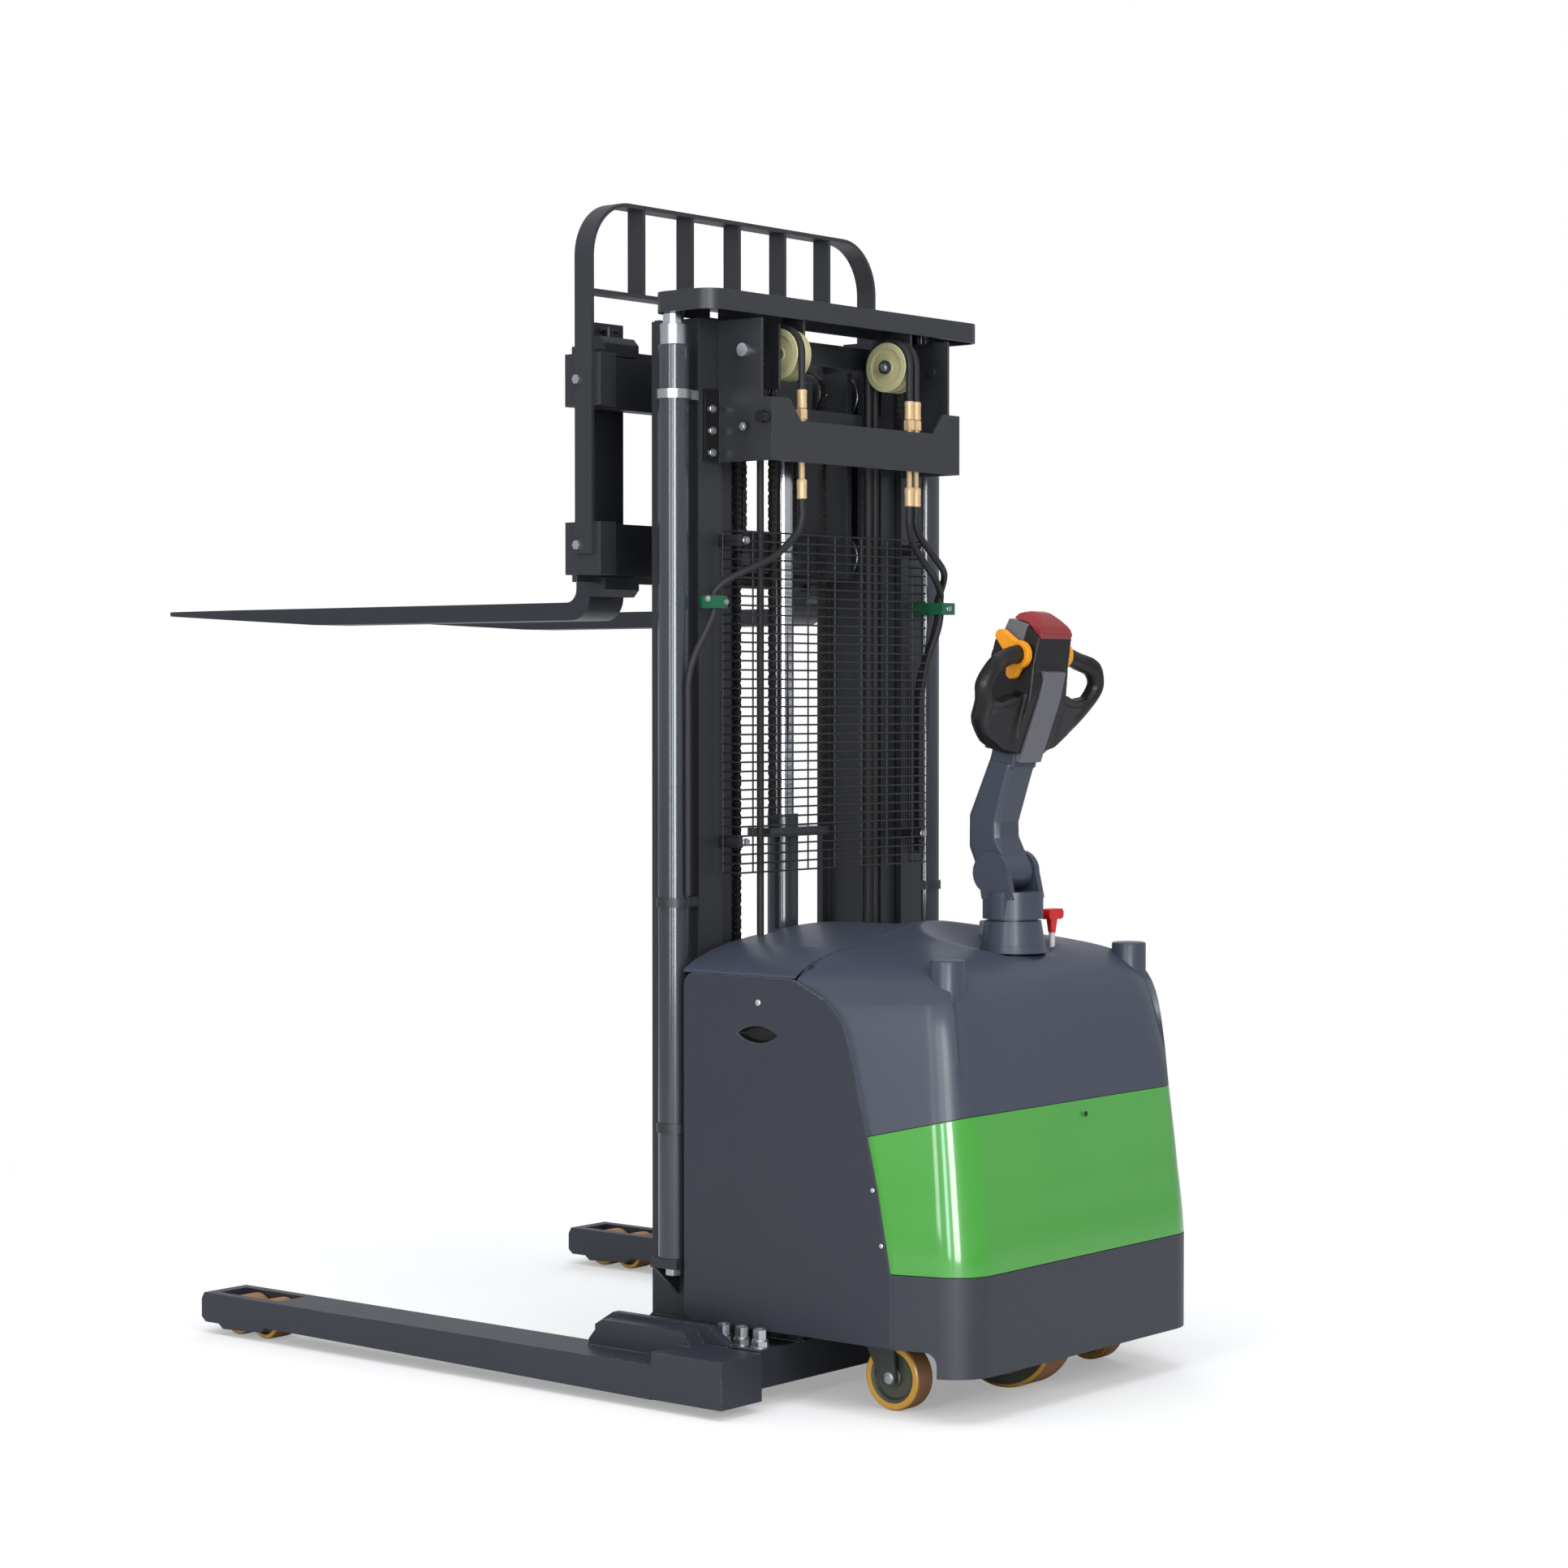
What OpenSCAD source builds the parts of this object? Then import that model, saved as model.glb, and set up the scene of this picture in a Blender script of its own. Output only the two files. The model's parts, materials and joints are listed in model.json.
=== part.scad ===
// Straddle stacker: a pedestrian stacker truck with a three-stage mast, forks between
// two straddle legs, a powered drive wheel and a tiller. Millimetres.
// +X points to the fork tips, +Y to the truck's left, +Z up. The origin lies on the
// floor, at the middle of the truck's length and width.

/* [Layout] */
// Length of a fork from the front face of its shank to its tip
fork_length = 1250; // [1000:5:1300]
// Distance from the front of the outer mast rail to the front face of the fork shank
fork_reach = 185; // [185:1:220]
// Distance from the back of the skirt to the rear flange of the mast
body_length = 662; // [655:1:720]
// Width of the body over its side panels
body_width = 840; // [830:2:860]

/* [Mast] */
// Height of the outer mast rails above the floor
mast_height = 2044; // [1990:2:2100]
// Width over the outer mast rails
mast_width = 710; // [700:2:720]
// Depth of every mast rail, front to back
rail_depth = 120; // [112:1:126]
// Thickness of the rail flanges
rail_flange = 14; // [12:0.5:15]
// Thickness of the rail webs
rail_web = 12; // [10:0.5:13]
// Height of the lower ends of the outer rails
mast_foot = 116; // [112:1:124]
// How far each mast stage slides out of the one around it
stage_travel = 1350; // [1100:5:1400]
// How far the rod lowers the carriage's chain wheels
free_travel = 710; // [650:1:712]
// Gap between the flanges of two nested rails, front to back
nest_gap = 2; // [1.5:0.1:3]
// Sideways gap between two nested rails
nest_side = 9; // [8:0.5:10]
// Radial clearance of a mast roller between its flanges
roller_gap = 0.5; // [0.4:0.1:1]

/* [Lift] */
// Outer diameter of a side lift cylinder
side_barrel_d = 60; // [56:1:62]
// Diameter of a side lift rod
side_rod_d = 40; // [32:1:42]
// Distance between the two side lift cylinders
side_barrel_span = 800; // [790:1:806]
// Outer diameter of the middle lift cylinder
free_barrel_d = 62; // [58:1:64]
// Diameter of the middle lift rod
free_rod_d = 44; // [38:1:46]
// Height of the top of the middle lift barrel
free_barrel_top = 1084; // [1060:1:1090]
// Height of the chain wheels' axle with the carriage raised
chain_wheel_z = 1932; // [1925:1:1934]
// Height of the hose and chain pulleys on the middle mast
pulley_z = 1982; // [1975:1:1986]
// Diameter of a hose pulley
hose_pulley_d = 100; // [90:1:104]
// Radial clearance of every pin and shaft in its bore
shaft_gap = 0.05; // [0.02:0.01:0.09]
// Clearance between two bodies that move past each other
move_gap = 0.3; // [0.3:0.05:0.5]

/* [Carriage and forks] */
// Width of the fork bars
carriage_width = 880; // [860:2:900]
// Thickness of the fork bars
bar_thickness = 40; // [36:1:42]
// Height of the top of the upper fork bar
upper_bar_z = 1984; // [1980:1:1990]
// Height of the underside of the lower fork bar
lower_bar_z = 1556; // [1550:1:1560]
// Height of each fork bar
bar_height = 102; // [96:1:106]
// Width of a fork
fork_width = 100; // [80:1:110]
// Thickness of a fork at its heel
fork_thickness = 35; // [30:1:38]
// Height of the upper face of the forks
fork_top_z = 1505; // [1500:1:1508]
// Width over the outer edges of both forks
fork_spread = 740; // [640:2:760]
// Height of the top of the load backrest
backrest_top = 2281; // [2240:1:2320]
// Outer corner radius of the load backrest
backrest_corner = 110; // [80:1:130]

/* [Straddle legs] */
// Width over the outer faces of the straddle legs
leg_spread = 1236; // [1226:2:1260]
// Width of a leg
leg_width = 116; // [110:1:118]
// Distance from the mast's rear flange to the tip of a leg
leg_reach = 1136; // [1050:1:1160]
// Height of the top of a leg
leg_top = 84; // [84:0.5:90]
// Height of the underside of a leg
leg_bottom = 31; // [28:0.5:32]
// Diameter of a load wheel
load_wheel_d = 80; // [76:1:82]
// Width of a load wheel
load_wheel_w = 64; // [56:1:66]

/* [Drive and casters] */
// Diameter of the drive wheel
drive_wheel_d = 250; // [240:1:254]
// Width of the drive wheel
drive_wheel_w = 80; // [70:1:82]
// Distance from the back of the skirt to the steering axis
drive_inset = 176; // [172:1:182]
// Diameter of a caster wheel
caster_d = 125; // [120:1:126]
// Width of a caster wheel
caster_w = 48; // [40:1:50]
// Distance from the swivel axis back to the caster wheel's axle
caster_trail = 28; // [24:1:29]
// Distance between the two caster swivel axes
caster_span = 636; // [620:1:640]

/* [Body panels] */
// Height of the lower edge of the skirt
skirt_z = 84; // [80:1:90]
// Height of the lower edge of the coloured band
band_z = 252; // [240:1:260]
// Height of the upper edge of the coloured band at the back
band_top = 557; // [540:1:570]
// Height of the top of the hood
hood_top = 854; // [850:1:858]
// Wall of the moulded covers
cover_wall = 4; // [3:0.5:5]
// Thickness of the sheet metal panels
sheet = 3; // [2:0.5:4]

/* [Tiller] */
// Height of the tiller's pivot
tiller_pivot_z = 984; // [980:1:990]
// Diameter of the tiller's swivelling base
tiller_base_d = 116; // [110:1:120]
// Width over the two grips
grip_span = 400; // [380:2:410]
// Thickness of a grip
grip_d = 34; // [30:1:36]
// How far the head leans back
head_lean = 15; // [12:0.5:18]

/* [Hidden] */

$fn = 48;
overlap = 1;                       // how far fused pieces reach into each other

// Lengthwise places, measured from the mast's rear flange plane unless named otherwise
overall_length = body_length + rail_depth + fork_reach + fork_length;
mast_x = body_length - overall_length / 2;
stage_step = rail_flange + nest_gap;
roller_r = (rail_depth - 2 * rail_flange) / 2 - roller_gap;
free_x = 82;                       // middle lift cylinder
side_barrel_x = 25;                // side lift cylinders
shank_front = rail_depth + fork_reach;
shank_rear = shank_front - fork_thickness;
bar_front = shank_rear - move_gap;
bar_rear = bar_front - bar_thickness;

// Sideways places of the nested rails, from the outside in
outer_half = mast_width / 2;
outer_flange_w = 69;
outer_in = outer_half - outer_flange_w;
middle_web_out = outer_in - nest_side;
middle_web_in = middle_web_out - rail_web;
middle_tip = outer_half - rail_web - 14;
middle_in = middle_web_in - 26;
inner_tip = middle_web_in - 4;
inner_web_out = middle_in - 8;
inner_web_in = inner_web_out - 10;
inner_in = inner_web_in - 23;

// Upright places of the rails
middle_foot = mast_foot + 2;
inner_foot = mast_foot + 4;
top_plate_under = mast_height + 6;
top_plate_z = top_plate_under + 39;
inner_top = mast_height - 14;
roller_zone = 110;                 // rail end that is cut back around its roller
roller_end = 60;                   // from a rail's end to its roller's axis

half_body = body_width / 2;
drive_offset = body_length - drive_inset;
caster_x = -body_length + 234;
drive_z = drive_wheel_d / 2;
caster_z = caster_d / 2;
load_z = load_wheel_d / 2;
bridge_z = 300;                    // plate that carries the steering turntable
bridge_t = 12;
deck_z = 178;                      // floor plate of the chassis
deck_t = 12;
leg_out = leg_spread / 2;
leg_in = leg_out - leg_width;
load_axles = [leg_reach - 81, leg_reach - 162];
beam = [-245, -108, 33, 105];      // cross beam: rear, front, lower and upper faces
beam_end = 470;
bulkhead_x = -34;                  // plate between the battery and the mast
beam_wall = 7.7;

module at_mast() translate([mast_x, 0, 0]) children();
module both_sides() { children(); mirror([0, 1, 0]) children(); }
module block(low, high) translate(low) cube(high - low);
// A drawing in X and Z, extruded from y to y + t
module slab_y(y, t) translate([0, y + t, 0]) rotate([90, 0, 0]) linear_extrude(t) children();
// A drawing in Y and Z, extruded from x to x + t
module slab_x(x, t) translate([x, 0, 0]) rotate([90, 0, 90]) linear_extrude(t) children();
module rod_y(x, z, y0, y1, r) translate([x, y0, z]) rotate([-90, 0, 0]) cylinder(h = y1 - y0, r = r);
module rod_x(y, z, x0, x1, r) translate([x0, y, z]) rotate([0, 90, 0]) cylinder(h = x1 - x0, r = r);
module rod_z(x, y, z0, z1, r) translate([x, y, z0]) cylinder(h = z1 - z0, r = r);
module rect(low, high) translate(low) square(high - low);
module round_rect(low, high, r) {
    rect([low[0] + r, low[1]], [high[0] - r, high[1]]);
    rect([low[0], low[1] + r], [high[0], high[1] - r]);
    for (x = [low[0] + r, high[0] - r], y = [low[1] + r, high[1] - r]) translate([x, y]) circle(r);
}
module tube_z(x, y, z0, z1, r, bore) difference() {
    rod_z(x, y, z0, z1, r);
    rod_z(x, y, z0 - overlap, z1 + overlap, bore);
}
module hex_head(d, h) cylinder(h = h, d = d / cos(30), $fn = 6);
// A tube of radius r swept along points, with flat square ends
function unit(v) = v / norm(v);
function sweep_dir(p, i) = i == 0 ? unit(p[1] - p[0])
    : i == len(p) - 1 ? unit(p[i] - p[i - 1])
    : unit(unit(p[i] - p[i - 1]) + unit(p[i + 1] - p[i]));
function sweep_side(p, i) = let (s = i == 0 ? [0, 1, 0.01] : sweep_side(p, i - 1), d = sweep_dir(p, i))
    unit(s - (s * d) * d);
module swept(p, r, sides = 8) {
    n = len(p);
    polyhedron(
        points = [for (i = [0 : n - 1]) let (d = sweep_dir(p, i), a = sweep_side(p, i), b = cross(d, a))
            for (k = [0 : sides - 1]) p[i] + r * (cos(360 * k / sides) * a + sin(360 * k / sides) * b)],
        faces = concat(
            [[for (k = [0 : sides - 1]) k]],
            [for (i = [0 : n - 2], k = [0 : sides - 1]) let (a = i * sides + k, b = i * sides + (k + 1) % sides)
                [a, a + sides, b + sides, b]],
            [[for (k = [sides - 1 : -1 : 0]) (n - 1) * sides + k]]));
}
// Points of a smooth curve through the given route, with n steps a stretch
function bend(a, b, c, d, t) = 0.5 * (2 * b + (c - a) * t + (2 * a - 5 * b + 4 * c - d) * t * t
    + (3 * b - a - 3 * c + d) * t * t * t);
function smooth(p, n) = concat([for (i = [0 : len(p) - 2], k = [0 : n - 1])
    bend(p[max(i - 1, 0)], p[i], p[i + 1], p[min(i + 2, len(p) - 1)], k / n)], [p[len(p) - 1]]);

// Shape of the moulded body.
// Each ring of the hood is [height, how far the back is drawn in, how far the sides are drawn in].
hood_rings = [[skirt_z, 0, 0], [band_z, 0, 0], [420, 16, 10], [band_top, 33, 20], [650, 43, 27],
    [719, 54, 34], [762, 66, 46], [792, 84, 66], [814, 112, 98], [830, 148, 142],
    [842, 196, 196], [850, 250, 256], [hood_top, 300, 318]];
corner_r = 90;                     // plan radius of the rear corners
side_spread = 0.306;               // how fast the moulded sides widen towards the front
side_meet = 157;                   // from the back to where the moulded side reaches full width
seam_x = -body_length + 372;       // seam between the hood and the front cover

// Half plan of the body, drawn in at the back and at the sides
function corner_arc(back, y0, r, steps = 7) = let (turn = 90 - atan(side_spread))
    [for (k = [0 : steps]) [back + r - r * cos(turn * k / steps), y0 + r * sin(turn * k / steps)]];
module body_plan(inset_back, inset_side, front) {
    back = -body_length + inset_back;
    line_y = half_body - side_meet * side_spread + inset_back * side_spread - inset_side;
    r = max(corner_r - inset_back * 0.3, 30);
    lean = atan(side_spread);
    y0 = line_y + r * side_spread - r / cos(lean);
    arc = corner_arc(back, y0, r);
    y_front = line_y + side_spread * (front - back);
    half = concat(arc, [[front, y_front]]);
    polygon(concat(half, [for (k = [len(half) - 1 : -1 : 0]) [half[k][0], -half[k][1]]]));
}
module body_form(inset, front) hull() for (ring = hood_rings)
    translate([0, 0, ring[0] - (ring[0] == hood_top ? inset : 0)]) linear_extrude(0.01)
        body_plan(ring[1] + inset, ring[2] + inset, front);
// The seam between hood and band falls towards the front
function seam_z(x) = band_top - 0.238 * (x + body_length - 33);
module hood_side() polygon([[-body_length - 50, seam_z(-body_length - 50)], [seam_x, seam_z(seam_x)],
    [seam_x, hood_top + 50], [-body_length - 50, hood_top + 50]]);
module band_side(gap) polygon([[-body_length - 50, band_z],
    [seam_x, band_z], [seam_x, seam_z(seam_x) - gap], [-body_length - 50, seam_z(-body_length - 50) - gap]]);
panel_gap = 0.6;
panel_top = hood_top - 58 - panel_gap;
module moulded_shell() difference() {
    intersection() {
        body_form(0, seam_x);
        block([-body_length - 50, -(half_body - sheet - panel_gap), skirt_z],
            [seam_x, half_body - sheet - panel_gap, hood_top + 50]);
    }
    body_form(cover_wall, seam_x + 10);
}

// Chassis
function mirrored_x(p) = concat(p, [for (k = [len(p) - 1 : -1 : 0]) [p[k][0], -p[k][1]]]);
module chassis_frame() at_mast() color("dimgray") {
    // floor plate with the opening for the drive unit
    difference() {
        translate([0, 0, deck_z]) linear_extrude(deck_t) polygon(mirrored_x([[deck_rear, 250], [-body_length + 90, 350],
            [-body_length + 142, 384], [-280, 384], [-270, deck_half], [-70, deck_half], [-60, 384], [bulkhead_x + 20, 384]]));
        rod_z(-drive_offset, 0, deck_z - overlap, deck_z + deck_t + overlap, 178);
        both_sides() rod_z(caster_x, caster_span / 2, deck_z - overlap, deck_z + deck_t + overlap,
            caster_stem_r + shaft_gap);
    }
    // bearing bosses of the casters
    both_sides() tube_z(caster_x, caster_span / 2, deck_z + deck_t, deck_z + deck_t + 26, 30,
        caster_stem_r + shaft_gap);
    // raised bridge that carries the turntable
    difference() {
        block([-drive_offset - 150, -200, bridge_z], [-drive_offset + 142, 200, bridge_z + bridge_t]);
        rod_z(-drive_offset, 0, bridge_z - overlap, bridge_z + bridge_t + overlap, turntable_r + shaft_gap);
    }
    both_sides() block([-drive_offset - 150, 188, deck_z + deck_t], [-drive_offset + 142, 200, bridge_z]);
    // cross beam: an open box tube that the legs slide in
    difference() {
        block([beam[0], -beam_end, beam[2]], [beam[1], beam_end, beam[3]]);
        block([beam[0] + beam_wall, -beam_end - overlap, beam[2] + beam_wall],
            [beam[1] - beam_wall, beam_end + overlap, beam[3] - beam_wall]);
        both_sides() for (x = clamp_x) rod_z(x, clamp_y, beam[3] - beam_wall - overlap, beam[3] + overlap, clamp_r);
    }
    // webs between cross beam and floor plate
    both_sides() for (y = [130, 340]) block([beam[0], y, beam[3]], [beam[1], y + 12, deck_z]);
    // bulkhead between the battery and the mast
    block([bulkhead_x, -390, deck_z], [bulkhead_x + 6, 390, 786]);
    both_sides() block([seam_x, 380, deck_z], [bulkhead_x + overlap, 386, 640]);
}
// Feet that carry the outer mast, welded to the front of the cross beam
module mast_feet() at_mast() color("dimgray") both_sides() difference() {
    block([beam[1], outer_in - 14, 56], [rail_depth + 8, outer_half, mast_foot]);
    slab_y(outer_in - 20, 120) polygon([[rail_depth + 9, 40], [rail_depth + 9, 96], [20, 55], [20, 40]]);
}

// Moulded and sheet metal covers
module panel_outline() difference() {
    union() {
        round_rect([seam_x - 240, 132], [-17, panel_top], 26);
        rect([seam_x - 240, 132], [-100, 400]);
    }
    translate([seam_x + 91, 687]) hand_slot();
}
// The hand slot in a side panel: two arcs that meet at its ends
module hand_slot() intersection() {
    translate([0, -67]) circle(83);
    translate([0, 67]) circle(83);
}
module side_panels() at_mast() color([0.27, 0.29, 0.33]) both_sides() intersection() {
    slab_y(half_body - sheet, sheet) panel_outline();
    body_form(0, 0);
}
cover_section = [[half_body, hood_top - 58], [half_body - 6, 804], [half_body - 34, 817], [half_body - 79, 832],
    [half_body - 134, 844], [half_body - 194, 851], [half_body - 260, hood_top], [0, hood_top]];
function mirrored(p) = concat(p, [for (k = [len(p) - 2 : -1 : 0]) [-p[k][0], p[k][1]]]);
module front_cover() at_mast() color([0.25, 0.27, 0.31]) difference() {
    slab_x(seam_x + 1, -seam_x - 16) polygon(mirrored(cover_section));
    slab_x(seam_x, -seam_x - 15 - sheet) polygon([for (p = mirrored(cover_section))
        [p[0] * (half_body - sheet) / half_body, p[1] - cover_wall]]);
    slab_x(seam_x, -seam_x) rect([-half_body - 1, 700], [half_body + 1, hood_top - 58]);
    // room for the hoses in front
    for (y = hose_pulley_ys) block([bulkhead_x + 2, y - 26, 700], [0, y + 26, hood_top + 10]);
}
bowl_r = 105;
knob_at = [-drive_offset - 19, -103];
key_at = [-drive_offset + 114, -66];
boss_at = [-body_length + 110, 300];
module hood_shell() {
    intersection() {
        moulded_shell();
        slab_y(-half_body, body_width) hood_side();
    }
    // floor of the bowl around the tiller
    intersection() {
        rod_z(-drive_offset, 0, hood_top - 30, hood_top - 3, bowl_r + cover_wall);
        body_form(1, seam_x);
    }
    // round columns that run down the rear corners
    both_sides() intersection() {
        rod_z(boss_at[0], boss_at[1], 700, 837, 34);
        body_form(-14, seam_x);
    }
}
module rear_hood() at_mast() color([0.29, 0.31, 0.36]) difference() {
    union() {
        difference() {
            hood_shell();
            translate([-drive_offset, 0, hood_top - 26]) cylinder(h = 60, r1 = bowl_r - 14, r2 = bowl_r + 18);
        }
        // boss under the emergency knob
        rod_z(knob_at[0], knob_at[1], hood_top - 29, hood_top - 1, 12);
    }
    rod_z(-drive_offset, 0, hood_top - 40, hood_top, tiller_hole_r);
    rod_z(knob_at[0], knob_at[1], hood_top - 60, hood_top + 10, knob_stem_r + shaft_gap);
    rod_z(key_at[0], key_at[1], hood_top - 60, hood_top + 10, key_r + shaft_gap);
}
module rear_band() at_mast() color([0.35, 0.71, 0.28]) intersection() {
    moulded_shell();
    slab_y(-half_body, body_width) band_side(1);
}
arch = [-body_length + 65, -body_length + 237, 131];          // caster opening in the skirt: rear, front and top
module rear_skirt() at_mast() color([0.27, 0.29, 0.33]) difference() {
    intersection() {
        union() {
            moulded_shell();
            both_sides() block([-body_length + 142, half_body - sheet - panel_gap, skirt_z],
                [seam_x - 10, half_body, band_z - 1]);
        }
        body_form(0, seam_x - 10);
        block([-body_length - 10, -half_body, skirt_z], [seam_x - 10, half_body, band_z - 1]);
    }
    slab_y(-half_body - 1, body_width + 2) {
        round_rect([arch[0], skirt_z - 60], [arch[1], arch[2]], 24);
        rect([arch[1] - 30, skirt_z - 1], [seam_x - 9, 132]);
    }
    both_sides() slab_y(half_body - sheet - panel_gap, sheet + 1) rect([seam_x - 241, 131.5], [seam_x - 9, band_z]);
}

// Energy, hydraulics
battery_rear = -body_length * 0.36;
cell_d = (bulkhead_x - battery_rear - 56) / 2;
pump = [-drive_offset + 144, battery_rear - 10];
module battery_pack() at_mast() color([0.13, 0.13, 0.14]) {
    difference() {
        block([battery_rear, -330, deck_z + deck_t], [bulkhead_x - 4, 330, 690]);
        block([battery_rear + 6, -324, 660], [bulkhead_x - 10, 324, 691]);
    }
    for (y = [-270 : 108 : 270], x = [battery_rear + 16, battery_rear + 36 + cell_d])
        block([x, y - 50, 659], [x + cell_d, y + 50, 684]);
    both_sides() translate([battery_rear + 58, 162, 683]) cylinder(h = 18, r = 9);
}
module hydraulic_unit() at_mast() color([0.2, 0.21, 0.23]) {
    middle = (pump[0] + pump[1]) / 2;
    block([pump[0], 60, deck_z + deck_t], [pump[1], 350, 430]);
    rod_z(middle, 150, 429, 610, (pump[1] - pump[0]) / 2 - 5);
    rod_z(middle, 270, 429, 450, (pump[1] - pump[0]) / 4);
    block([pump[0], -350, deck_z + deck_t], [pump[1], -60, 360]);
}

// Mast rails, drawn in plan for the left side
module rail_section(x, web_in, web_out, flange_in, flange_out) {
    rect([x, web_in], [x + rail_depth, web_out]);
    for (f = [x, x + rail_depth - rail_flange]) rect([f, flange_in], [f + rail_flange, flange_out]);
}
module outer_mast() at_mast() color([0.21, 0.22, 0.24]) both_sides() {
    difference() {
        translate([0, 0, mast_foot]) linear_extrude(mast_height - mast_foot)
            rail_section(0, outer_half - rail_web, outer_half, outer_in, outer_half);
        block([rail_depth - rail_flange - overlap, outer_in - 1, mast_height - roller_zone],
            [rail_depth + 1, outer_half - rail_web, mast_height + 1]);
    }
    // roller at the top of the outer rail, running in the middle rail
    rod_y(roller_x(1), mast_height - roller_end, middle_web_out + 10, middle_web_out + 38, roller_r);
    rod_y(roller_x(1), mast_height - roller_end, middle_web_out + 38, outer_half - rail_web, 16);
    // lower cross plate
    block([-12, 0, mast_foot + 6], [0, outer_half, mast_foot + 150]);
    // shelf and clip that carry the side lift cylinder
    difference() {
        union() {
            block([-8, outer_half, cylinder_foot_z - 18], [58, side_barrel_span / 2 + 32, cylinder_foot_z]);
            slab_x(50, 8) polygon([[outer_half, cylinder_foot_z - 80],
                [side_barrel_span / 2 + 28, cylinder_foot_z - 18], [outer_half, cylinder_foot_z - 18]]);
        }
        rod_z(side_barrel_x, side_barrel_span / 2, cylinder_foot_z - 40, cylinder_foot_z + 1, 10.5);
    }
    // bands that hold the cylinder against the rail
    for (z = strap_z) difference() {
        union() {
            rod_z(side_barrel_x, side_barrel_span / 2, z - 9, z + 9, side_barrel_d / 2 + 4);
            block([side_barrel_x - 22, outer_half, z - 9], [side_barrel_x + 22, side_barrel_span / 2 - 12, z + 9]);
        }
        rod_z(side_barrel_x, side_barrel_span / 2, z - 10, z + 10, side_barrel_d / 2 + move_gap);
    }
}
function roller_x(stage) = rail_depth / 2 + stage * stage_step;
cylinder_foot_z = 243;
strap_z = [494, 926, 1896];

tie = [-137, 301, 1770, 1890];     // crosstie bracket: rear face, half width, lower and upper edge
module crosstie_bracket() at_mast() color([0.25, 0.26, 0.28]) {
    // rear plate with its wide notch
    slab_x(tie[0], 6) difference() {
        rect([-tie[1], tie[2]], [tie[1], tie[3]]);
        polygon([[-247, tie[3] + 1], [-213, tie[3] - 41], [213, tie[3] - 41], [247, tie[3] + 1]]);
    }
    both_sides() {
        // wings that run forward to the outer rails
        difference() {
            slab_y(tie[1] - 6, 6) polygon([[tie[0], tie[2]], [-0.5, tie[2]], [-0.5, mast_height - 2],
                [-111, mast_height - 2], [-111, tie[3]], [tie[0], tie[3]]]);
            rod_y(-72, pulley_z, tie[1] - 8, tie[1] + 2, 8.5);
        }
        // pad and its nut
        rod_y(-72, pulley_z, tie[1] - 10, tie[1] + 8, 8.5);
        rod_y(-72, pulley_z, tie[1], tie[1] + 12, 13);
        // foot that is bolted to the rail's flange
        block([-6, tie[1] - overlap, tie[2]], [-0.5, outer_half - 12, tie[3] + 20]);
        // chain anchor
        block([chain_back_x - 14, 204, tie[2] + 30], [chain_back_x + 14, tie[1] - 5, tie[2] + 46]);
    }
    // knob that holds the guard
    rod_y(tie[0] + 13, 1852, tie[1], tie[1] + 10, 5);
    rod_y(tie[0] + 13, 1852, tie[1] + 10, tie[1] + 22, 12);
    // shelf that holds the hose couplings
    difference() {
        for (y = hose_pulley_ys) block([tie[0] + 5, y - 26, tie[3] - 60], [hose_x + 14, y + 26, tie[3] - 52]);
        for (y = hose_ys) rod_z(hose_x, y, tie[3] - 61, tie[3] - 51, 8 + move_gap);
    }
}

module lift_cylinders() at_mast() color([0.24, 0.26, 0.3]) both_sides() translate([0, side_barrel_span / 2, 0]) {
    difference() {
        union() {
            rod_z(side_barrel_x, 0, cylinder_foot_z, 1990, side_barrel_d / 2);
            rod_z(side_barrel_x, 0, 1990, 2030, side_barrel_d / 2 - 4);
            rod_z(side_barrel_x, 0, cylinder_foot_z - 34, cylinder_foot_z, 10);
        }
        rod_z(side_barrel_x, 0, cylinder_foot_z + 30, 1985, side_barrel_d / 2 - 5);
        rod_z(side_barrel_x, 0, 1984, 2031, side_rod_d / 2 + shaft_gap);
    }
    translate([side_barrel_x, 0, cylinder_foot_z - 34]) difference() {
        hex_head(30, 16);
        translate([0, 0, -1]) cylinder(h = 18, r = 10);
    }
}

mesh = [-56, 300, 978, 1639];      // guard: rear plane, half width, lower and upper edge
wire = 3.6;
mesh_rows = 38;
module mesh_guard() at_mast() color([0.12, 0.12, 0.13]) {
    step = (mesh[3] - mesh[2] - wire) / (mesh_rows - 1);
    for (k = [0 : mesh_rows - 1]) let (z = mesh[2] + k * step) {
        block([mesh[0], -mesh[1], z], [mesh[0] + wire, mesh[1], z + wire]);
        both_sides() block([mesh[0], mesh[1] - wire, z], [-12, mesh[1], z + wire]);
    }
    for (y = [-255, -170, -85, 0, 85, 170, 255])
        block([mesh[0] + wire - 1, y - wire / 2, mesh[2]], [mesh[0] + 2 * wire - 1, y + wire / 2, mesh[3]]);
    both_sides() {
        block([-14, mesh[1] - wire, mesh[2]], [-14 + wire, mesh[1], mesh[3]]);
        for (z = [mesh[2] + 50, mesh[3] - 30]) {
            block([mesh[0] + 2, mesh[1] - 12, z], [-0.5, mesh[1] - wire, z + 22]);
            rod_x(mesh[1] - 16, z + 11, mesh[0] - 8, mesh[0] + 4, 6);
        }
    }
}

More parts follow.
